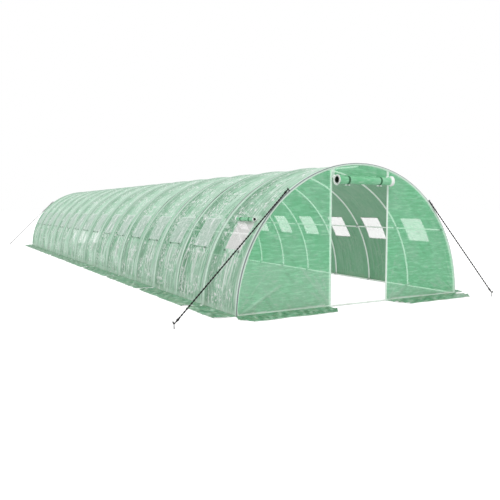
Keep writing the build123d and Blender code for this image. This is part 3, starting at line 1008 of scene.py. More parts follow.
@dataclass
class EndFilm:
    """The film across an end: a left and a right panel, and one over the doorway."""

    tunnel: Tunnel
    finishes: Finishes
    step: float = 0.024
    billow: float = 0.010
    crease: float = 0.0030
    hem: float = 0.024

    def relief(self, x: Array, z: Array, seed: int) -> Array:
        """Creases of the panel, slanting up and out from the feet of the door posts and of the arch."""
        t = self.tunnel
        cross = ripple(z, x, seed, (0.05, 0.16), (0.5, 2.2), 12)
        slant = ripple(x + 0.8 * z, x - z, seed + 1, (0.10, 0.35), (0.8, 2.5), 8)
        total = 0.4 * cross + 0.5 * slant
        draw = np.random.default_rng(seed + 3)
        for sign in (-1.0, 1.0):
            for corner in (t.door_edge, t.radius):
                inwards = -1.0 if corner > 1.0 else 1.0
                for _ in range(7):
                    lean = math.radians(draw.uniform(14.0, 76.0))
                    length = draw.uniform(0.35, 0.95)
                    bow = draw.uniform(-0.10, 0.10)
                    dx = (np.abs(x) - corner) * inwards
                    run = dx * math.cos(lean) + z * math.sin(lean)
                    off = -dx * math.sin(lean) + z * math.cos(lean) - bow * run * (length - run)
                    fade = np.sin(math.pi * np.clip(run / length, 0.0, 1.0))
                    tall, wide = draw.uniform(0.6, 1.5), draw.uniform(0.010, 0.020)
                    total = total + (x * sign > 0) * tall * fade * np.exp(-((off / wide) ** 2))
        return total

    def patch(self, skin: Skin, end: End, low_x: float, high_x: float, floor: float) -> None:
        """Adds one panel between two places across and from a height up to the arch."""
        t = self.tunnel
        reach = t.radius - t.film
        seed = 21 if end is End.FRONT else 31
        x_line = steps(low_x, high_x, self.step, (low_x + self.hem, high_x - self.hem))
        rise = np.linspace(0.0, 1.0, 100 if floor == 0.0 else 16)
        x, share = np.meshgrid(x_line, rise)
        top = np.sqrt(np.maximum(reach**2 - x**2, 0.0))
        z = floor + (top - floor) * share
        beside = smoothstep(0.0, 0.12, np.abs(x) - t.door_edge) * smoothstep(0.0, 0.10, top - z)
        over = smoothstep(0.0, 0.05, top - z) * smoothstep(0.0, 0.05, z - t.lintel)
        free = np.where(np.abs(x) < t.door_edge, over, beside) * smoothstep(0.0, 0.06, z)
        creases = free * self.relief(x, z, seed)
        out = free * self.billow * (0.6 + 0.4 * ripple(x, z, seed + 2, (0.6, 1.6), (0.6, 1.6), 6))
        out = out + self.crease * creases
        points = np.stack([x, end.value * (t.end_face - 0.002 + out), z], -1)
        at_door = (np.abs(np.abs(x) - t.door_edge) < self.hem) | (z < 1.6 * self.hem)
        layers = 1.0 + SECOND_LAYER * at_door
        # the creases also set painted highlights on their ridges and painted shade in their valleys
        skin.add_grid(points, np.stack([x, z], -1), layers, creases, flip=end is End.REAR)

    def build(self) -> None:
        """Makes and dresses both ends."""
        t = self.tunnel
        reach = t.radius - t.film
        for end in End:
            skin = Skin()
            self.patch(skin, end, -reach, -t.door_edge, 0.0)
            self.patch(skin, end, t.door_edge, reach, 0.0)
            self.patch(skin, end, -t.door_edge, t.door_edge, t.lintel)
            piece = skin.build(f"{end.word}_panel_film")
            dress(piece, self.finishes["panel film"], [f"{end.word}_panel"])


@dataclass
class EndTape:
    """Doubled tape that wraps the cover's edge round each end arch."""

    tunnel: Tunnel
    finishes: Finishes
    over: float = 0.050
    face: float = 0.030
    stand: float = 0.002
    bend: float = 0.006
    wobble: float = 0.0008
    parts: int = 180

    def profile(self) -> Array:
        """Points of distance from the axis and distance beyond the end face, from roof to panel."""
        r = self.tunnel.radius + self.stand
        corner = [(r - self.bend + self.bend * math.sin(a), -0.002 + self.bend * math.cos(a))
                  for a in np.linspace(math.pi / 2, 0.0, 5)]
        return np.array([(r - 0.002, -self.over), (r, -self.over + 0.004), (r + 0.0005, -self.over / 2),
                         *corner, (r - self.face / 2, 0.0045), (r - self.face, 0.004),
                         (r - self.face - 0.002, 0.001)])

    def build(self) -> None:
        """Makes and dresses the tape of both ends."""
        t = self.tunnel
        profile = self.profile()
        run = np.concatenate([[0.0], np.cumsum(np.linalg.norm(np.diff(profile, axis=0), axis=1))])
        for end in End:
            angle, index = np.meshgrid(np.linspace(0.0, math.pi, self.parts + 1), np.arange(len(profile)))
            waves = ripple(angle * t.radius, index * 0.01, 51 + end.value, (0.05, 0.3), (0.1, 0.3), 8)
            wobble = self.wobble * waves
            radius = profile[index, 0] + wobble
            y = end.value * (t.end_face + profile[index, 1] + wobble)
            flat = np.stack([run[index], t.radius * angle], -1)
            skin = Skin()
            # painted shade on the rounded corner of the tape, faint painted highlight elsewhere
            crest = np.where((index > 2) & (index < 8), -1.0, 0.2)
            skin.add_grid(t.at(angle, radius, y), flat, 1.0, crest, flip=end is End.REAR)
            piece = skin.build(f"{end.word}_arch_tape")
            dress(piece, self.finishes["film tape"])


@dataclass
class Roll:
    """A sheet wound into a loose spiral that widens at both ends."""

    core: float
    outer: float
    turns: float
    length: float
    flare: float
    flare_length: float
    lap: float
    hem: float
    thickness: float
    parts_round: int
    parts_along: int
    seed: int

    def wound(self) -> float:
        """Length of sheet in the spiral and its lap."""
        return math.pi * (self.core + self.outer) * self.turns + self.lap

    def build(self, name: str, origin: Sequence[float], out: Sequence[float],
              up: Sequence[float]) -> bpy.types.Object:
        """Makes the roll.

        Args:
            name: the piece's name.
            origin: the middle of the roll's back, where the lap starts.
            out: the way from the wall out through the roll.
            up: the way up along the wall, in which the lap leaves.

        Returns:
            The new piece.
        """
        along = np.cross(out, up)
        at_hem = self.length / 2 - self.hem
        kept = (-at_hem, at_hem, -self.length / 2 + self.flare_length, self.length / 2 - self.flare_length)
        x_line = steps(-self.length / 2, self.length / 2, self.length / self.parts_along, kept)
        turn = np.linspace(0.0, 2.0 * math.pi * self.turns, round(self.parts_round * self.turns) + 1)
        x, wind = np.meshgrid(x_line, turn)
        edge = np.clip((np.abs(x) - self.length / 2 + self.flare_length) / self.flare_length, 0.0, 1.0)
        growth = 1.0 + (self.flare - 1.0) * edge**1.6
        share = wind / turn[-1]
        slack = 1.0 + 0.035 * ripple(x, wind * 0.02, self.seed, (0.08, 0.4), (0.05, 0.2), 8)
        radius = (self.outer + (self.core - self.outer) * share) * growth * slack
        radius = np.where(share < 0.02, self.outer * growth, radius)
        middle = self.outer * growth
        away = middle - radius * np.cos(wind)
        rise = -radius * np.sin(wind)
        lap_rows = np.linspace(1.0, 0.0, 4)[:-1, None] * self.lap
        away = np.concatenate([np.zeros((3, len(x_line))) + 0.001, away])
        rise = np.concatenate([np.broadcast_to(lap_rows, (3, len(x_line))), rise])
        run = np.concatenate([lap_rows[:, 0] * -1.0, turn * (self.core + self.outer) / 2])
        place = np.broadcast_to(x_line, away.shape)
        points = np.asarray(origin) + away[..., None] * np.asarray(out) + rise[..., None] * np.asarray(up)
        points = points + place[..., None] * along
        flat = np.stack(np.meshgrid(x_line, run), -1)
        deepest = np.concatenate([np.zeros(3), turn / turn[-1]])[:, None] > 1.0 - 1.15 / self.turns
        hem = (np.abs(place) > at_hem - 1e-6) * ~deepest * 1.0
        # painted highlights along the sheet, and painted shade on the innermost turns, which darkens the
        # roll's hole
        crest = 0.25 + 0.3 * ripple(place, flat[..., 1], self.seed + 1, (0.10, 0.5), (0.03, 0.12), 10)
        crest = np.where(deepest, -1.0, np.maximum(crest, -0.1))
        skin = Skin()
        skin.add_grid(points, flat, 1.0 + hem, crest)
        return skin.build(name, thickness=self.thickness)


def strap_path(radius: float, middle: float, top: float, parts: int = 28) -> tuple[Array, Array]:
    """Line of a strap from the wall over a roll, under it and back up, and the way out of its face.

    Args:
        radius: distance of the strap from the roll's middle.
        middle: distance of the roll's middle from the wall.
        top: height above the roll's middle where the strap is fixed.
        parts: how many steps go round the roll.

    Returns:
        Points and directions, each as distance from the wall and height.
    """
    lean = math.atan2(top, radius)
    turn = np.linspace(math.pi - 2.0 * lean, -math.pi, parts)
    around = np.stack([middle + radius * np.cos(turn), radius * np.sin(turn)], -1)
    facing = np.stack([np.cos(turn), np.sin(turn)], -1)
    fixed = np.array([[middle - radius, top]])
    path = np.concatenate([fixed, around, fixed - np.array([[0.0, 0.012]])])
    normal = np.concatenate([facing[:1], facing, facing[-1:]])
    return path, normal


def make_toggle(length: float, radius: float) -> bpy.types.Object:
    """Models a toggle with a waist, along local X."""
    bpy.ops.object.select_all(action="DESELECT")
    bpy.ops.mesh.primitive_cylinder_add(vertices=14, radius=radius, depth=length,
                                        rotation=(0.0, math.pi / 2, 0.0))
    piece = settle(bpy.context.active_object, "toggle")
    bpy.ops.object.mode_set(mode="EDIT")
    bpy.ops.mesh.select_mode(type="EDGE")
    bpy.ops.mesh.select_all(action="DESELECT")
    bpy.ops.object.mode_set(mode="OBJECT")
    for edge in piece.data.edges:
        ends = [piece.data.vertices[v].co.x for v in edge.vertices]
        edge.select = abs(ends[0] - ends[1]) > length / 2
    bpy.ops.object.mode_set(mode="EDIT")
    bpy.ops.mesh.subdivide(number_cuts=5)
    bpy.ops.mesh.select_mode(type="VERT")
    bpy.ops.mesh.select_all(action="DESELECT")
    bpy.ops.object.mode_set(mode="OBJECT")
    for vertex in piece.data.vertices:
        vertex.select = abs(vertex.co.x) < length * 0.2
    bpy.ops.object.mode_set(mode="EDIT")
    bpy.ops.transform.resize(value=(1.0, 0.86, 0.86), center_override=(0.0, 0.0, 0.0))
    bpy.ops.object.mode_set(mode="OBJECT")
    bevel(piece, radius * 0.35)
    return piece


@dataclass
class DoorRolls:
    """The rolled-up door sheets with their straps and toggles."""

    finishes: Finishes
    strap_place: float = 0.290
    strap_width: float = 0.030
    strap_thickness: float = 0.002
    strap_gap: float = 0.0022
    toggle_length: float = 0.090
    toggle_radius: float = 0.0085
    toggle_gap: float = 0.003
    loop_radius: float = 0.0102
    loop_width: float = 0.007
    loop_thickness: float = 0.0015
    seam_drop: float = 0.062

    def build(self) -> None:
        """Makes and dresses both rolls, their straps and their toggles."""
        straps, places = Skin(), []
        way = np.array([1.0, 0.0, 0.0])
        for end in End:
            low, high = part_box(f"{end.word}_door_roll")
            back = low.y if end is End.REAR else high.y
            axis = self.axis_height(end)
            roll = Roll(core=0.028, outer=0.054, turns=6.5, length=high.x - low.x, flare=1.43,
                        flare_length=0.058, lap=0.070, hem=0.020, thickness=0.0030, parts_round=30,
                        parts_along=30, seed=71 + end.value)
            out = (0.0, float(end.value), 0.0)
            piece = roll.build(f"{end.word}_door_sheet_roll", (0.0, back, axis), out, (0.0, 0.0, 1.0))
            dress(piece, self.finishes["rolled film"], [f"{end.word}_door_roll"])
            for x in (-self.strap_place, self.strap_place):
                path, normal = strap_path(roll.outer + self.strap_gap, roll.outer, self.seam_drop)
                line = np.stack([np.full(len(path), x), back + end.value * path[:, 0], axis + path[:, 1]], -1)
                facing = np.stack([np.zeros(len(path)), end.value * normal[:, 0], normal[:, 1]], -1)
                ribbon(straps, line, facing, way, self.strap_width, self.strap_thickness)
                under = axis - roll.outer - self.strap_thickness - self.toggle_radius - self.toggle_gap
                places.append(placed((x, back + end.value * roll.outer, under), (0, 0, 1), (1, 0, 0)))
                loop = np.linspace(0.0, 2.0 * math.pi, 17)
                centre = np.array([x, back + end.value * roll.outer, under + 0.001])
                ring = np.stack([np.zeros_like(loop), np.cos(loop), np.sin(loop)], -1)
                line = centre + self.loop_radius * ring
                ribbon(straps, line, ring, way, self.loop_width, self.loop_thickness)
        piece = straps.build("door_straps", closed=True)
        dress(piece, self.finishes["green strap"], ["door_ties"])
        piece = copy_at(make_toggle(self.toggle_length, self.toggle_radius), places, "door_strap_toggles")
        dress(piece, self.finishes["white plastic"])

    def axis_height(self, end: End) -> float:
        """Height of the roll's axis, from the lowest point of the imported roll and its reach."""
        low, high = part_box(f"{end.word}_door_roll")
        return low.z + (high.y - low.y) / 2


@dataclass
class Windows:
    """Nets, closed flaps and rolled-up flaps of the side windows."""

    tunnel: Tunnel
    finishes: Finishes
    cover: CoverFilm
    tuck: float = 0.012
    margin: float = 0.025
    hem_radius: float = 0.007
    roll_lift: float = 0.004
    tie_place: float = 0.115
    tie_width: float = 0.020
    tie_thickness: float = 0.0016
    tie_gap: float = 0.0025
    tie_top: float = 0.052
    toggle_length: float = 0.044
    toggle_radius: float = 0.0055
    toggle_inset: float = 0.030
    toggle_turn: float = 0.016
    toggle_lift: float = 0.016
    cord_radius: float = 0.0022
    loop_reach: float = 0.012
    loop_shift: float = 0.010
    loop_rise: float = 0.007
    net_depth: float = 0.0025
    net_dent: float = 0.004
    step: float = 0.022

    def net(self, side: Side, number: int, near: float, far: float) -> None:
        """Makes one net, tucked behind the edges of its hole."""
        t = self.tunnel
        low, high = t.window_span(side)
        slip = self.tuck / t.radius
        y_line = steps(near - self.tuck, far + self.tuck, self.step)
        around = steps(low - slip, high + slip, self.step / t.radius)
        y, angle = np.meshgrid(y_line, around)
        across, along = (y - near) / (far - near), (angle - low) / (high - low)
        inside = np.clip(across * (1 - across), 0, 1) * np.clip(along * (1 - along), 0, 1) * 16
        waves = ripple(y, angle * t.radius, 81 + number, (0.1, 0.4), (0.1, 0.4), 6)
        dent = self.net_dent * inside * (1.0 + 0.5 * waves)
        skin = Skin()
        points = t.at(angle, self.cover.surface(angle, y) - self.net_depth - dent, y)
        skin.add_grid(points, np.stack([y, t.radius * angle], -1))
        piece = skin.build(f"window_net_{side.word}_{number:02d}")
        dress(piece, self.finishes["insect net"], [f"window_nets_{side.word}"])

    def closed_flap(self, number: int, near: float, far: float) -> None:
        """Makes one flap that hangs down over its window, with a hem rolled along its lower edge."""
        t = self.tunnel
        high, low = t.window_span(Side.LEFT)
        slip = self.margin / t.radius
        y_line = steps(near - self.margin, far + self.margin, self.step)
        down = np.linspace(0.0, 1.0, 22)
        curl = np.linspace(0.0, 2.2 * math.pi, 12)[1:]
        length = (low - high) * t.radius + 2 * self.margin
        share = np.concatenate([down, np.ones(len(curl))])
        lift = np.concatenate([np.zeros(len(down)), self.hem_radius * (1.0 - np.cos(curl))])
        drop = np.concatenate([np.zeros(len(down)), self.hem_radius * np.sin(curl)])
        y, share = np.meshgrid(y_line, share)
        lift, drop = lift[:, None], drop[:, None]
        angle = high - slip + (length / t.radius) * share
        middle = (near + far) / 2
        side_edge = smoothstep(0.17, 0.245, np.abs(y - middle))
        loose = share**2 * (0.001 + 0.002 * side_edge)
        waves = ripple(y, share, 101 + number, (0.08, 0.35), (0.5, 2.0), 9)
        out = 0.0015 + loose + 0.0018 * share * (1.0 + waves) + lift
        calm = self.cover.surface(angle, np.full_like(y, middle)) * 0.3 + (t.radius - 0.004) * 0.7
        radius = np.maximum(calm, self.cover.surface(angle, y) + 0.001) + out
        skin = Skin()
        points = t.at(angle + drop / t.radius, radius, y)
        run = np.concatenate([down * length, length + self.hem_radius * curl])
        flat = np.stack(np.meshgrid(y_line, run), -1)
        hem = (share > 0.985) | (np.abs(y - middle) > (far - near) / 2 + self.margin - 0.018) | (share < 0.04)
        # the waves also set painted highlights and painted shade on the flap
        skin.add_grid(points, flat, 1.0 + hem, 0.8 * waves)
        piece = skin.build(f"window_flap_{number:02d}")
        dress(piece, self.finishes["flap film"], ["window_flaps_closed"])

    def rolled_flap(self, side: Side, number: int, near: float, far: float, ties: Skin) -> None:
        """Makes one flap rolled up above its window, with two ties round it."""
        t = self.tunnel
        angle = t.window_high + self.roll_lift / t.radius
        out = np.array([side.value * math.cos(angle), 0.0, math.sin(angle)])
        up = np.array([-side.value * math.sin(angle), 0.0, math.cos(angle)])
        middle = (near + far) / 2
        origin = out * (t.radius + 0.001) + np.array([0.0, middle, 0.0])
        roll = Roll(core=0.011, outer=0.0265, turns=3.8, length=far - near + 2 * self.margin, flare=1.16,
                    flare_length=0.030, lap=0.035, hem=0.012, thickness=0.0024, parts_round=16,
                    parts_along=11, seed=131 + number)
        piece = roll.build(f"window_flap_roll_{side.word}_{number:02d}", origin, out, up)
        dress(piece, self.finishes["rolled film"], [f"window_flap_rolls_{side.word}"])
        path, normal = strap_path(roll.outer + self.tie_gap, roll.outer, self.tie_top, 18)
        for shift in (-self.tie_place, self.tie_place):
            line = origin + path[:, :1] * out + path[:, 1:] * up + np.array([0.0, shift, 0.0])
            facing = normal[:, :1] * out + normal[:, 1:] * up
            ribbon(ties, line, facing, np.array([0.0, 1.0, 0.0]), self.tie_width, self.tie_thickness)

    def toggles(self) -> None:
        """Makes the toggles beside the lower corners of every window, on their cord loops."""
        t = self.tunnel
        cords, places = Skin(), []
        for side in Side:
            low, high = t.window_span(side)
            angle = (low - self.toggle_turn) if side is Side.RIGHT else (high + self.toggle_turn)
            down = -1.0 if side is Side.RIGHT else 1.0
            for near, far in t.windows(side):
                for y in (near + self.toggle_inset, far - self.toggle_inset):
                    radius = float(self.cover.surface(np.array([angle]), np.array([y]))[0]) + self.toggle_lift
                    origin = t.at(angle, radius, y)
                    out = np.array([math.cos(angle), 0.0, math.sin(angle)])
                    fall = down * np.array([-math.sin(angle), 0.0, math.cos(angle)])
                    places.append(placed(origin, out, (0.0, 1.0, 0.0)))
                    turn = np.linspace(-0.6, 2.0 * math.pi - 0.6, 14)[:, None]
                    ring = np.cos(turn) * fall * self.loop_reach - fall * self.loop_shift
                    ring = ring + np.sin(turn) * out * self.loop_rise
                    tube(cords, origin + ring, self.cord_radius, 5)
        dress(cords.build("window_toggle_cords", closed=True), self.finishes["black rope"])
        toggle = make_toggle(self.toggle_length, self.toggle_radius)
        dress(copy_at(toggle, places, "window_toggles"), self.finishes["dark plastic"])

    def build(self) -> None:
        """Makes and dresses all windows."""
        for side in Side:
            ties = Skin()
            for number, (near, far) in enumerate(self.tunnel.windows(side), start=1):
                self.net(side, number, near, far)
                if side is Side.LEFT and number > 1:
                    self.closed_flap(number, near, far)
                else:
                    self.rolled_flap(side, number, near, far, ties)
            piece = ties.build(f"window_ties_{side.word}", closed=True)
            dress(piece, self.finishes["green strap"])
        self.toggles()


@dataclass
class Skirts:
    """Film flaps that lie on the ground along the sides and before both ends, lumpy and turned under."""

    tunnel: Tunnel
    finishes: Finishes
    notch: float = 0.030
    corner: float = 0.070
    lump: float = 0.017
    turned: float = 0.080
    stand_off: float = 0.003
    door_gap: float = 0.030
    door_taper: float = 0.150
    step: float = 0.021

    def profile(self, width: float) -> tuple[Array, Array, Array]:
        """Distance out, height and share of the lumps at each row, from the wall's foot to the edge."""
        lie = np.linspace(0.030, width - 0.010, round(width / self.step))
        turned_edge = [width - 0.004, width, width - 0.003, width - 0.02]
        out = np.concatenate([[0.003, 0.0035, 0.006, 0.014], lie, turned_edge])
        flat = np.full(len(lie), 0.0035)
        up = np.concatenate([[0.016, 0.012, 0.009, 0.006], flat, [0.008, 0.0065, 0.002, 0.0015]])
        lumpy = smoothstep(0.015, 0.07, out) * (1.0 - 0.75 * smoothstep(width - 0.03, width, out))
        lumpy[-3:] = 0.0
        return out, up, lumpy

    def strip(self, name: str, node: str, ground: Callable[[Array, Array], Array], width: float,
              length: float, ends: Callable[[Array], tuple[Array, Array]], seed: int) -> None:
        """Makes one flap.

        Args:
            name: the piece's name.
            node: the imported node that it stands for.
            ground: gives X and Y from the distance along and the distance out.
            width: how far it reaches out.
            length: how long it is along the wall.
            ends: gives where it starts and stops at each distance out.
            seed: which lumps.
        """
        out, up, lumpy = self.profile(width)
        share, rows = np.meshgrid(np.linspace(0.0, 1.0, round(length / self.step) + 1), np.arange(len(out)))
        start, stop = ends(out)
        along = start[rows] + (stop - start)[rows] * share
        away = out[rows]
        wander = 1.0 + 0.045 * ripple(along, away * 0.0, seed, (0.15, 0.9), (1.0, 2.0), 7)
        away = np.where(away > 0.03, away * wander, away)
        lumps = ripple(along, away, seed + 1, (0.10, 0.5), (0.08, 0.4), 12)
        fine = ripple(along, away, seed + 2, (0.04, 0.14), (0.05, 0.3), 10)
        rise = up[rows] + self.lump * lumpy[rows] * (np.abs(lumps) + 0.35 * np.abs(fine))
        plan = ground(along, away)
        skin = Skin()
        layers = 1.0 + SECOND_LAYER * (np.abs(rows - len(out) + 3) < 2)
        # painted highlights on the lumps and painted shade between them
        crest = 1.3 * lumps * lumpy[rows] + 0.6 * fine
        forth, outwards = plan[0, 1] - plan[0, 0], plan[-1, 0] - plan[0, 0]
        facing_down = forth[0] * outwards[1] - forth[1] * outwards[0] < 0
        surface = np.concatenate([plan, rise[..., None]], -1)
        skin.add_grid(surface, np.stack([along, away], -1), layers, crest, flip=bool(facing_down))
        piece = skin.build(name)
        dress(piece, self.finishes["skirt film"], [node])

    def build(self) -> None:
        """Makes and dresses the side and end flaps."""
        t = self.tunnel
        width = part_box("skirt_right")[1].x - t.radius
        for side in Side:
            for number, (near, far) in enumerate(zip(t.seams, t.seams[1:]), start=1):
                def ends(out: Array, near: float = near, far: float = far) -> tuple[Array, Array]:
                    cut = self.notch + np.maximum(0.0, out - (width - self.corner))
                    return near + cut, far - cut

                def ground(along: Array, away: Array, sign: int = side.value) -> Array:
                    return np.stack([sign * (t.radius + away), along], -1)

                self.strip(f"ground_flap_{side.word}_{number:02d}", f"skirt_{side.word}", ground, width,
                           far - near - 2 * self.notch, ends, 201 + 10 * number + side.value)
        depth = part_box("rear_skirt")[1].y - t.end_face
        for end in End:
            for side in Side:
                def ends(out: Array) -> tuple[Array, Array]:
                    places = [0.0, depth / 2, depth]
                    beside = t.door_edge + self.door_gap
                    start = np.interp(out, places, [beside, beside, t.door_edge + self.door_taper])
                    stop = np.interp(out, places, [t.radius, t.radius + self.corner, t.radius - self.corner])
                    return start, stop

                def ground(along: Array, away: Array, side: Side = side, end: End = end) -> Array:
                    beyond = t.end_face + self.stand_off + away
                    return np.stack([side.value * along, end.value * beyond], -1)

                self.strip(f"{end.word}_ground_flap_{side.word}", f"{end.word}_skirt", ground, depth,
                           t.radius - t.door_edge - self.door_gap, ends, 401 + 10 * end.value + side.value)


@dataclass
class GuyRopes:
    """Doubled ropes from an eye on each end arch to a peg, with a loop and a whipping at both ends."""

    finishes: Finishes
    strand: float = 0.0056
    twist: float = 0.090
    step: float = 0.011
    end_slice: float = 0.020
    whip_foot: float = 0.035
    whip_head: float = 0.055
    whip_turns: int = 4
    whip_pitch: float = 0.0009
    whip_reach: float = 2.3
    whip_radius: float = 0.0026
    wire_reach: float = 0.0085
    wire_radius: float = 0.004

    def quadrant(self, name: str, side: Side, end: End) -> Array:
        """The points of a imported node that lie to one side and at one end."""
        points = node_points(name)
        return points[(points[:, 0] * side.value > 0) & (points[:, 1] * end.value > 0)]

    def rope(self, skin: Skin, side: Side, end: End) -> None:
        """Adds one rope."""
        bar = self.quadrant("guy_ropes", side, end)
        low, high = bar[:, 2].min(), bar[:, 2].max()
        foot = bar[bar[:, 2] < low + self.end_slice].mean(0)
        head = bar[bar[:, 2] > high - self.end_slice].mean(0)
        way = (head - foot) / np.linalg.norm(head - foot)
        across = np.cross(way, (0.0, 0.0, 1.0))
        across /= np.linalg.norm(across)
        upright = np.cross(across, way)
        length = float(np.linalg.norm(head - foot))
        run = np.linspace(0.0, length, round(length / self.step))
        for phase in (0.0, math.pi):
            turn = 2.0 * math.pi * run / self.twist + phase
            offset = np.cos(turn)[:, None] * across + np.sin(turn)[:, None] * upright
            tube(skin, foot + run[:, None] * way + self.strand * offset, self.strand, 7)
        for place in (self.whip_foot, length - self.whip_head):
            coil = np.linspace(0.0, 2.0 * math.pi * self.whip_turns, 64)
            wound = np.cos(coil)[:, None] * across + np.sin(coil)[:, None] * upright
            line = foot + (place + coil[:, None] * self.whip_pitch) * way
            tube(skin, line + self.whip_reach * self.strand * wound, self.whip_radius, 6)
        peg = self.quadrant("ground_pegs", side, end)
        peg = peg[peg[:, 2] < self.strand]
        centre = np.array([peg[:, 0].mean(), peg[:, 1].mean(), foot[2] - self.strand])
        peg_radius = float(np.ptp(peg[:, 0])) / 2
        self.loop(skin, centre, np.array([1.0, 0.0, 0.0]), np.array([0.0, 1.0, 0.0]), peg_radius)
        outward = np.array([head[0], 0.0, head[2]]) / math.hypot(head[0], head[2])
        normal = np.array([-outward[2], 0.0, outward[0]])
        self.loop(skin, head + self.wire_reach * way, way, normal, self.wire_radius)

    def loop(self, skin: Skin, centre: Array, first: Array, second: Array, held: float) -> None:
        """Adds a closed loop of rope round a peg or round the wire of a ring.

        Args:
            skin: where the faces go.
            centre: the middle of what it goes round.
            first: one direction in the loop's plane.
            second: the other direction in the loop's plane.
            held: radius of what it goes round.
        """
        turn = np.linspace(0.0, 2.0 * math.pi, 30)[:, None]
        reach = held + self.strand
        tube(skin, centre + reach * (np.cos(turn) * first + np.sin(turn) * second), self.strand, 7)

    def build(self) -> None:
        """Makes and dresses the four ropes."""
        skin = Skin()
        for end in End:
            for side in Side:
                self.rope(skin, side, end)
        piece = skin.build("guy_ropes_twisted", closed=True)
        dress(piece, self.finishes["black rope"], ["guy_ropes"])


@dataclass
class Fittings:
    """Sleeves that join the lengths of each arch, and the bolts of the clamps."""

    tunnel: Tunnel
    finishes: Finishes
    sleeve_length: float = 0.120
    sleeve_wall: float = 0.0015
    sleeve_angles: tuple[float, float] = (62.0, 118.0)
    bolt_across: float = 0.013
    purlin_height: float = 1.030
    purlin_inset: float = 0.016

    def sleeve(self) -> bpy.types.Object:
        """Models a sleeve with a rolled bead at both ends, along local X."""
        radius = self.tunnel.tube / 2 + self.sleeve_wall
        bpy.ops.object.select_all(action="DESELECT")
        bpy.ops.mesh.primitive_cylinder_add(vertices=20, radius=radius, depth=self.sleeve_length,
                                            end_fill_type="NOTHING", rotation=(0.0, math.pi / 2, 0.0))
        piece = settle(bpy.context.active_object, "sleeve")
        bpy.ops.object.mode_set(mode="EDIT")
        bpy.ops.mesh.select_all(action="SELECT")
        bpy.ops.mesh.bisect(plane_co=(self.sleeve_length * 0.42, 0, 0), plane_no=(1, 0, 0))
        bpy.ops.mesh.select_all(action="SELECT")
        bpy.ops.mesh.bisect(plane_co=(-self.sleeve_length * 0.42, 0, 0), plane_no=(1, 0, 0))
        bpy.ops.mesh.select_all(action="DESELECT")
        bpy.ops.object.mode_set(mode="OBJECT")
        for vertex in piece.data.vertices:
            vertex.select = abs(vertex.co.x) > self.sleeve_length * 0.49
        bpy.ops.object.mode_set(mode="EDIT")
        bpy.ops.transform.resize(value=(1.0, 0.94, 0.94), center_override=(0.0, 0.0, 0.0))
        bpy.ops.object.mode_set(mode="OBJECT")
        bpy.ops.object.shade_smooth_by_angle(angle=math.radians(50.0))
        return piece

    def bolt(self) -> bpy.types.Object:
        """Models a washer and a hexagonal head, out along local Z."""
        bpy.ops.object.select_all(action="DESELECT")
        bpy.ops.mesh.primitive_cylinder_add(vertices=6, radius=self.bolt_across / 2 / math.cos(math.pi / 6),
                                            depth=0.0055, location=(0.0, 0.0, 0.0042))
        head = settle(bpy.context.active_object, "head")
        bevel(head, 0.0008, 1)
        bpy.ops.object.select_all(action="DESELECT")
        bpy.ops.mesh.primitive_cylinder_add(vertices=16, radius=self.bolt_across * 0.78, depth=0.0016,
                                            location=(0.0, 0.0, 0.0008))
        washer = settle(bpy.context.active_object, "washer")
        bevel(washer, 0.0004, 1)
        return join([head, washer], "bolt")

    def build(self) -> None:
        """Makes and dresses the sleeves and the bolts."""
        t = self.tunnel
        centre = t.radius - t.film - t.tube / 2
        along = (0.0, 1.0, 0.0)
        sleeves, bolts = [], []
        clamp_inner = node_points("purlin_clamps")
        reach = np.hypot(clamp_inner[:, 0], clamp_inner[:, 2]).min()
        side_row = math.asin(self.purlin_height / (reach + self.purlin_inset))
        for station in t.stations:
            for angle in map(math.radians, self.sleeve_angles):
                out = (math.cos(angle), 0.0, math.sin(angle))
                tangent = (-math.sin(angle), 0.0, math.cos(angle))
                origin = (centre * out[0], station, centre * out[2])
                sleeves.append(placed(origin, out, tangent))
            for angle in (side_row, math.pi / 2, math.pi - side_row):
                inwards = (-math.cos(angle), 0.0, -math.sin(angle))
                origin = (reach * math.cos(angle), station, reach * math.sin(angle))
                bolts.append(placed(origin, inwards, along))
        dress(copy_at(self.sleeve(), sleeves, "arch_sleeves"), self.finishes["coated steel"])
        dress(copy_at(self.bolt(), bolts, "clamp_bolts"), self.finishes["plated steel"])


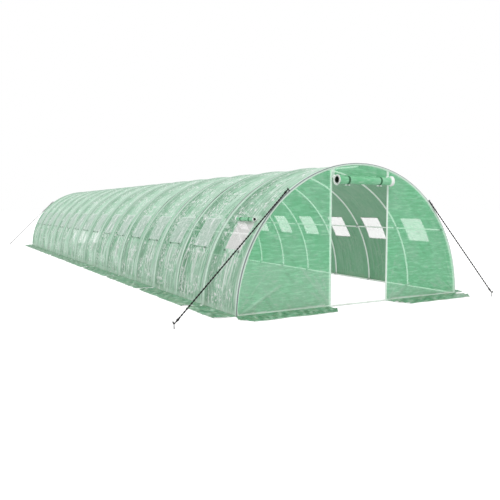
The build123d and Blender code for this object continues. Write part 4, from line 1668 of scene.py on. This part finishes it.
@dataclass
class Studio:
    """Floor, lights and the camera at the photograph's viewing angle."""

    lens: float = 40.30
    sensor: float = 36.0
    place: tuple[float, float, float] = (-5.306, -14.118, 1.368)
    heading: float = 29.786
    tilt: float = -4.261
    fill: float = 0.72
    sun_strength: float = 1.1
    sun_spread: float = 30.0
    sun_turn: tuple[float, float] = (32.0, -28.0)
    floor_size: float = 400.0
    floor_tone: Colour = (0.80, 0.80, 0.80, 1.0)
    floor_filmed: Colour = (0.34, 0.36, 0.34, 1.0)
    floor_glow: float = 0.60
    indoors: tuple[float, float] = (2.0, 8.0)

    def build(self) -> None:
        """Makes the camera, the lights, the world and the floor."""
        self.camera()
        self.world()
        self.sun()
        self.floor()
        scene = bpy.context.scene
        scene.view_settings.view_transform = "Standard"

    def camera(self) -> None:
        """Adds the camera."""
        data = bpy.data.cameras.new("camera")
        data.lens = self.lens
        data.sensor_width = self.sensor
        data.clip_end = 500.0
        camera = bpy.data.objects.new("camera", data)
        camera.location = self.place
        camera.rotation_euler = (math.radians(90.0 + self.tilt), 0.0, math.radians(-self.heading))
        bpy.context.scene.collection.objects.link(camera)
        bpy.context.scene.camera = camera

    def world(self) -> None:
        """White background for the camera and reflections, softer light for everything else."""
        world = bpy.data.worlds.new("studio")
        world.use_nodes = True
        bpy.context.scene.world = world
        n = Nodes(world.node_tree)
        back = world.node_tree.nodes["Background"]
        path = n.add("LightPath")
        seen = n.math("MAXIMUM", path.outputs["Is Camera Ray"], path.outputs["Is Glossy Ray"])
        seen = n.math("MAXIMUM", seen, path.outputs["Is Transmission Ray"])
        strength = n.add("MapRange", {"Value": seen, "To Min": self.fill, "To Max": 1.0}).outputs[0]
        back.inputs["Color"].default_value = (1.0, 1.0, 1.0, 1.0)
        n.tree.links.new(strength, back.inputs["Strength"])

    def sun(self) -> None:
        """A wide soft lamp from the upper left."""
        data = bpy.data.lights.new("soft sun", "SUN")
        data.energy = self.sun_strength
        data.angle = math.radians(self.sun_spread)
        lamp = bpy.data.objects.new("soft sun", data)
        lamp.rotation_euler = (math.radians(self.sun_turn[0]), math.radians(self.sun_turn[1]), 0.0)
        bpy.context.scene.collection.objects.link(lamp)

    def floor(self) -> None:
        """A white floor that keeps a soft shadow, and takes a darker colour, a painted shade, inside the
        tunnel where it is seen through the film.
        """
        bpy.ops.object.select_all(action="DESELECT")
        bpy.ops.mesh.primitive_plane_add(size=self.floor_size, location=(0.0, 0.0, -0.002))
        floor = settle(bpy.context.active_object, "studio_floor")
        material = bpy.data.materials.new("studio floor")
        material.use_nodes = True
        n = Nodes(material.node_tree)
        tree = material.node_tree
        tree.nodes.remove(tree.nodes["Principled BSDF"])
        path = n.add("LightPath")
        parts = n.add("SeparateXYZ", {0: n.add("TexCoord").outputs["Object"]})
        indoors = n.times(n.math("LESS_THAN", n.math("ABSOLUTE", parts.outputs[0]), self.indoors[0]),
                          n.math("LESS_THAN", n.math("ABSOLUTE", parts.outputs[1]), self.indoors[1]))
        behind = n.times(n.math("MINIMUM", path.outputs["Transparent Depth"], 1.0), indoors)
        # painted shade of the tunnel on the floor inside it
        colour = n.mix(behind, self.floor_tone, self.floor_filmed)
        matt = n.add("BsdfDiffuse", {"Color": colour})
        glow = n.add("Emission", {"Color": (1.0, 1.0, 1.0, 1.0), "Strength": self.floor_glow})
        both = n.add("AddShader", {0: matt.outputs[0], 1: glow.outputs[0]})
        seen = n.math("MAXIMUM", path.outputs["Is Camera Ray"], path.outputs["Is Glossy Ray"])
        seen = n.math("MAXIMUM", seen, path.outputs["Is Transmission Ray"])
        seen = n.math("SUBTRACT", seen, behind, clamp=True)
        choice = n.add("MixShader", {0: seen, 1: matt.outputs[0], 2: both.outputs[0]})
        tree.links.new(choice.outputs[0], tree.nodes["Material Output"].inputs["Surface"])
        floor.data.materials.append(material)


def dress_nodes(finishes: Finishes) -> None:
    """Gives every CAD node that stays its finish."""
    by_slot = {"coated_steel": "coated steel", "clamp_steel": "plated steel", "dark_steel": "dark steel",
               "black_rope": "black rope", "green_strap": "green strap", "rolled_film": "rolled film",
               "flap_film": "flap film", "skirt_film": "skirt film", "insect_net": "insect net"}
    slots = {s["node"]: s["material_slot"] for s in frame["record"]["subparts"]}
    for name, node in frame["nodes"].items():
        finish = by_slot.get(slots.get(name, ""))
        if finish:
            for place in node.material_slots:
                place.material = finishes[finish]


def main() -> None:
    """Builds the greenhouse's looks in order."""
    logging.basicConfig(level=logging.INFO, format="%(name)s: %(message)s")
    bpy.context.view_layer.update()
    Studio().build()
    tunnel = Tunnel.from_frame()
    finishes = Finishes(tunnel)
    dress_nodes(finishes)
    cover = CoverFilm(tunnel, finishes)
    cover.build()
    EndFilm(tunnel, finishes).build()
    EndTape(tunnel, finishes).build()
    Windows(tunnel, finishes, cover).build()
    DoorRolls(finishes).build()
    Skirts(tunnel, finishes).build()
    GuyRopes(finishes).build()
    Fittings(tunnel, finishes).build()


if __name__ == "__main__":
    main()
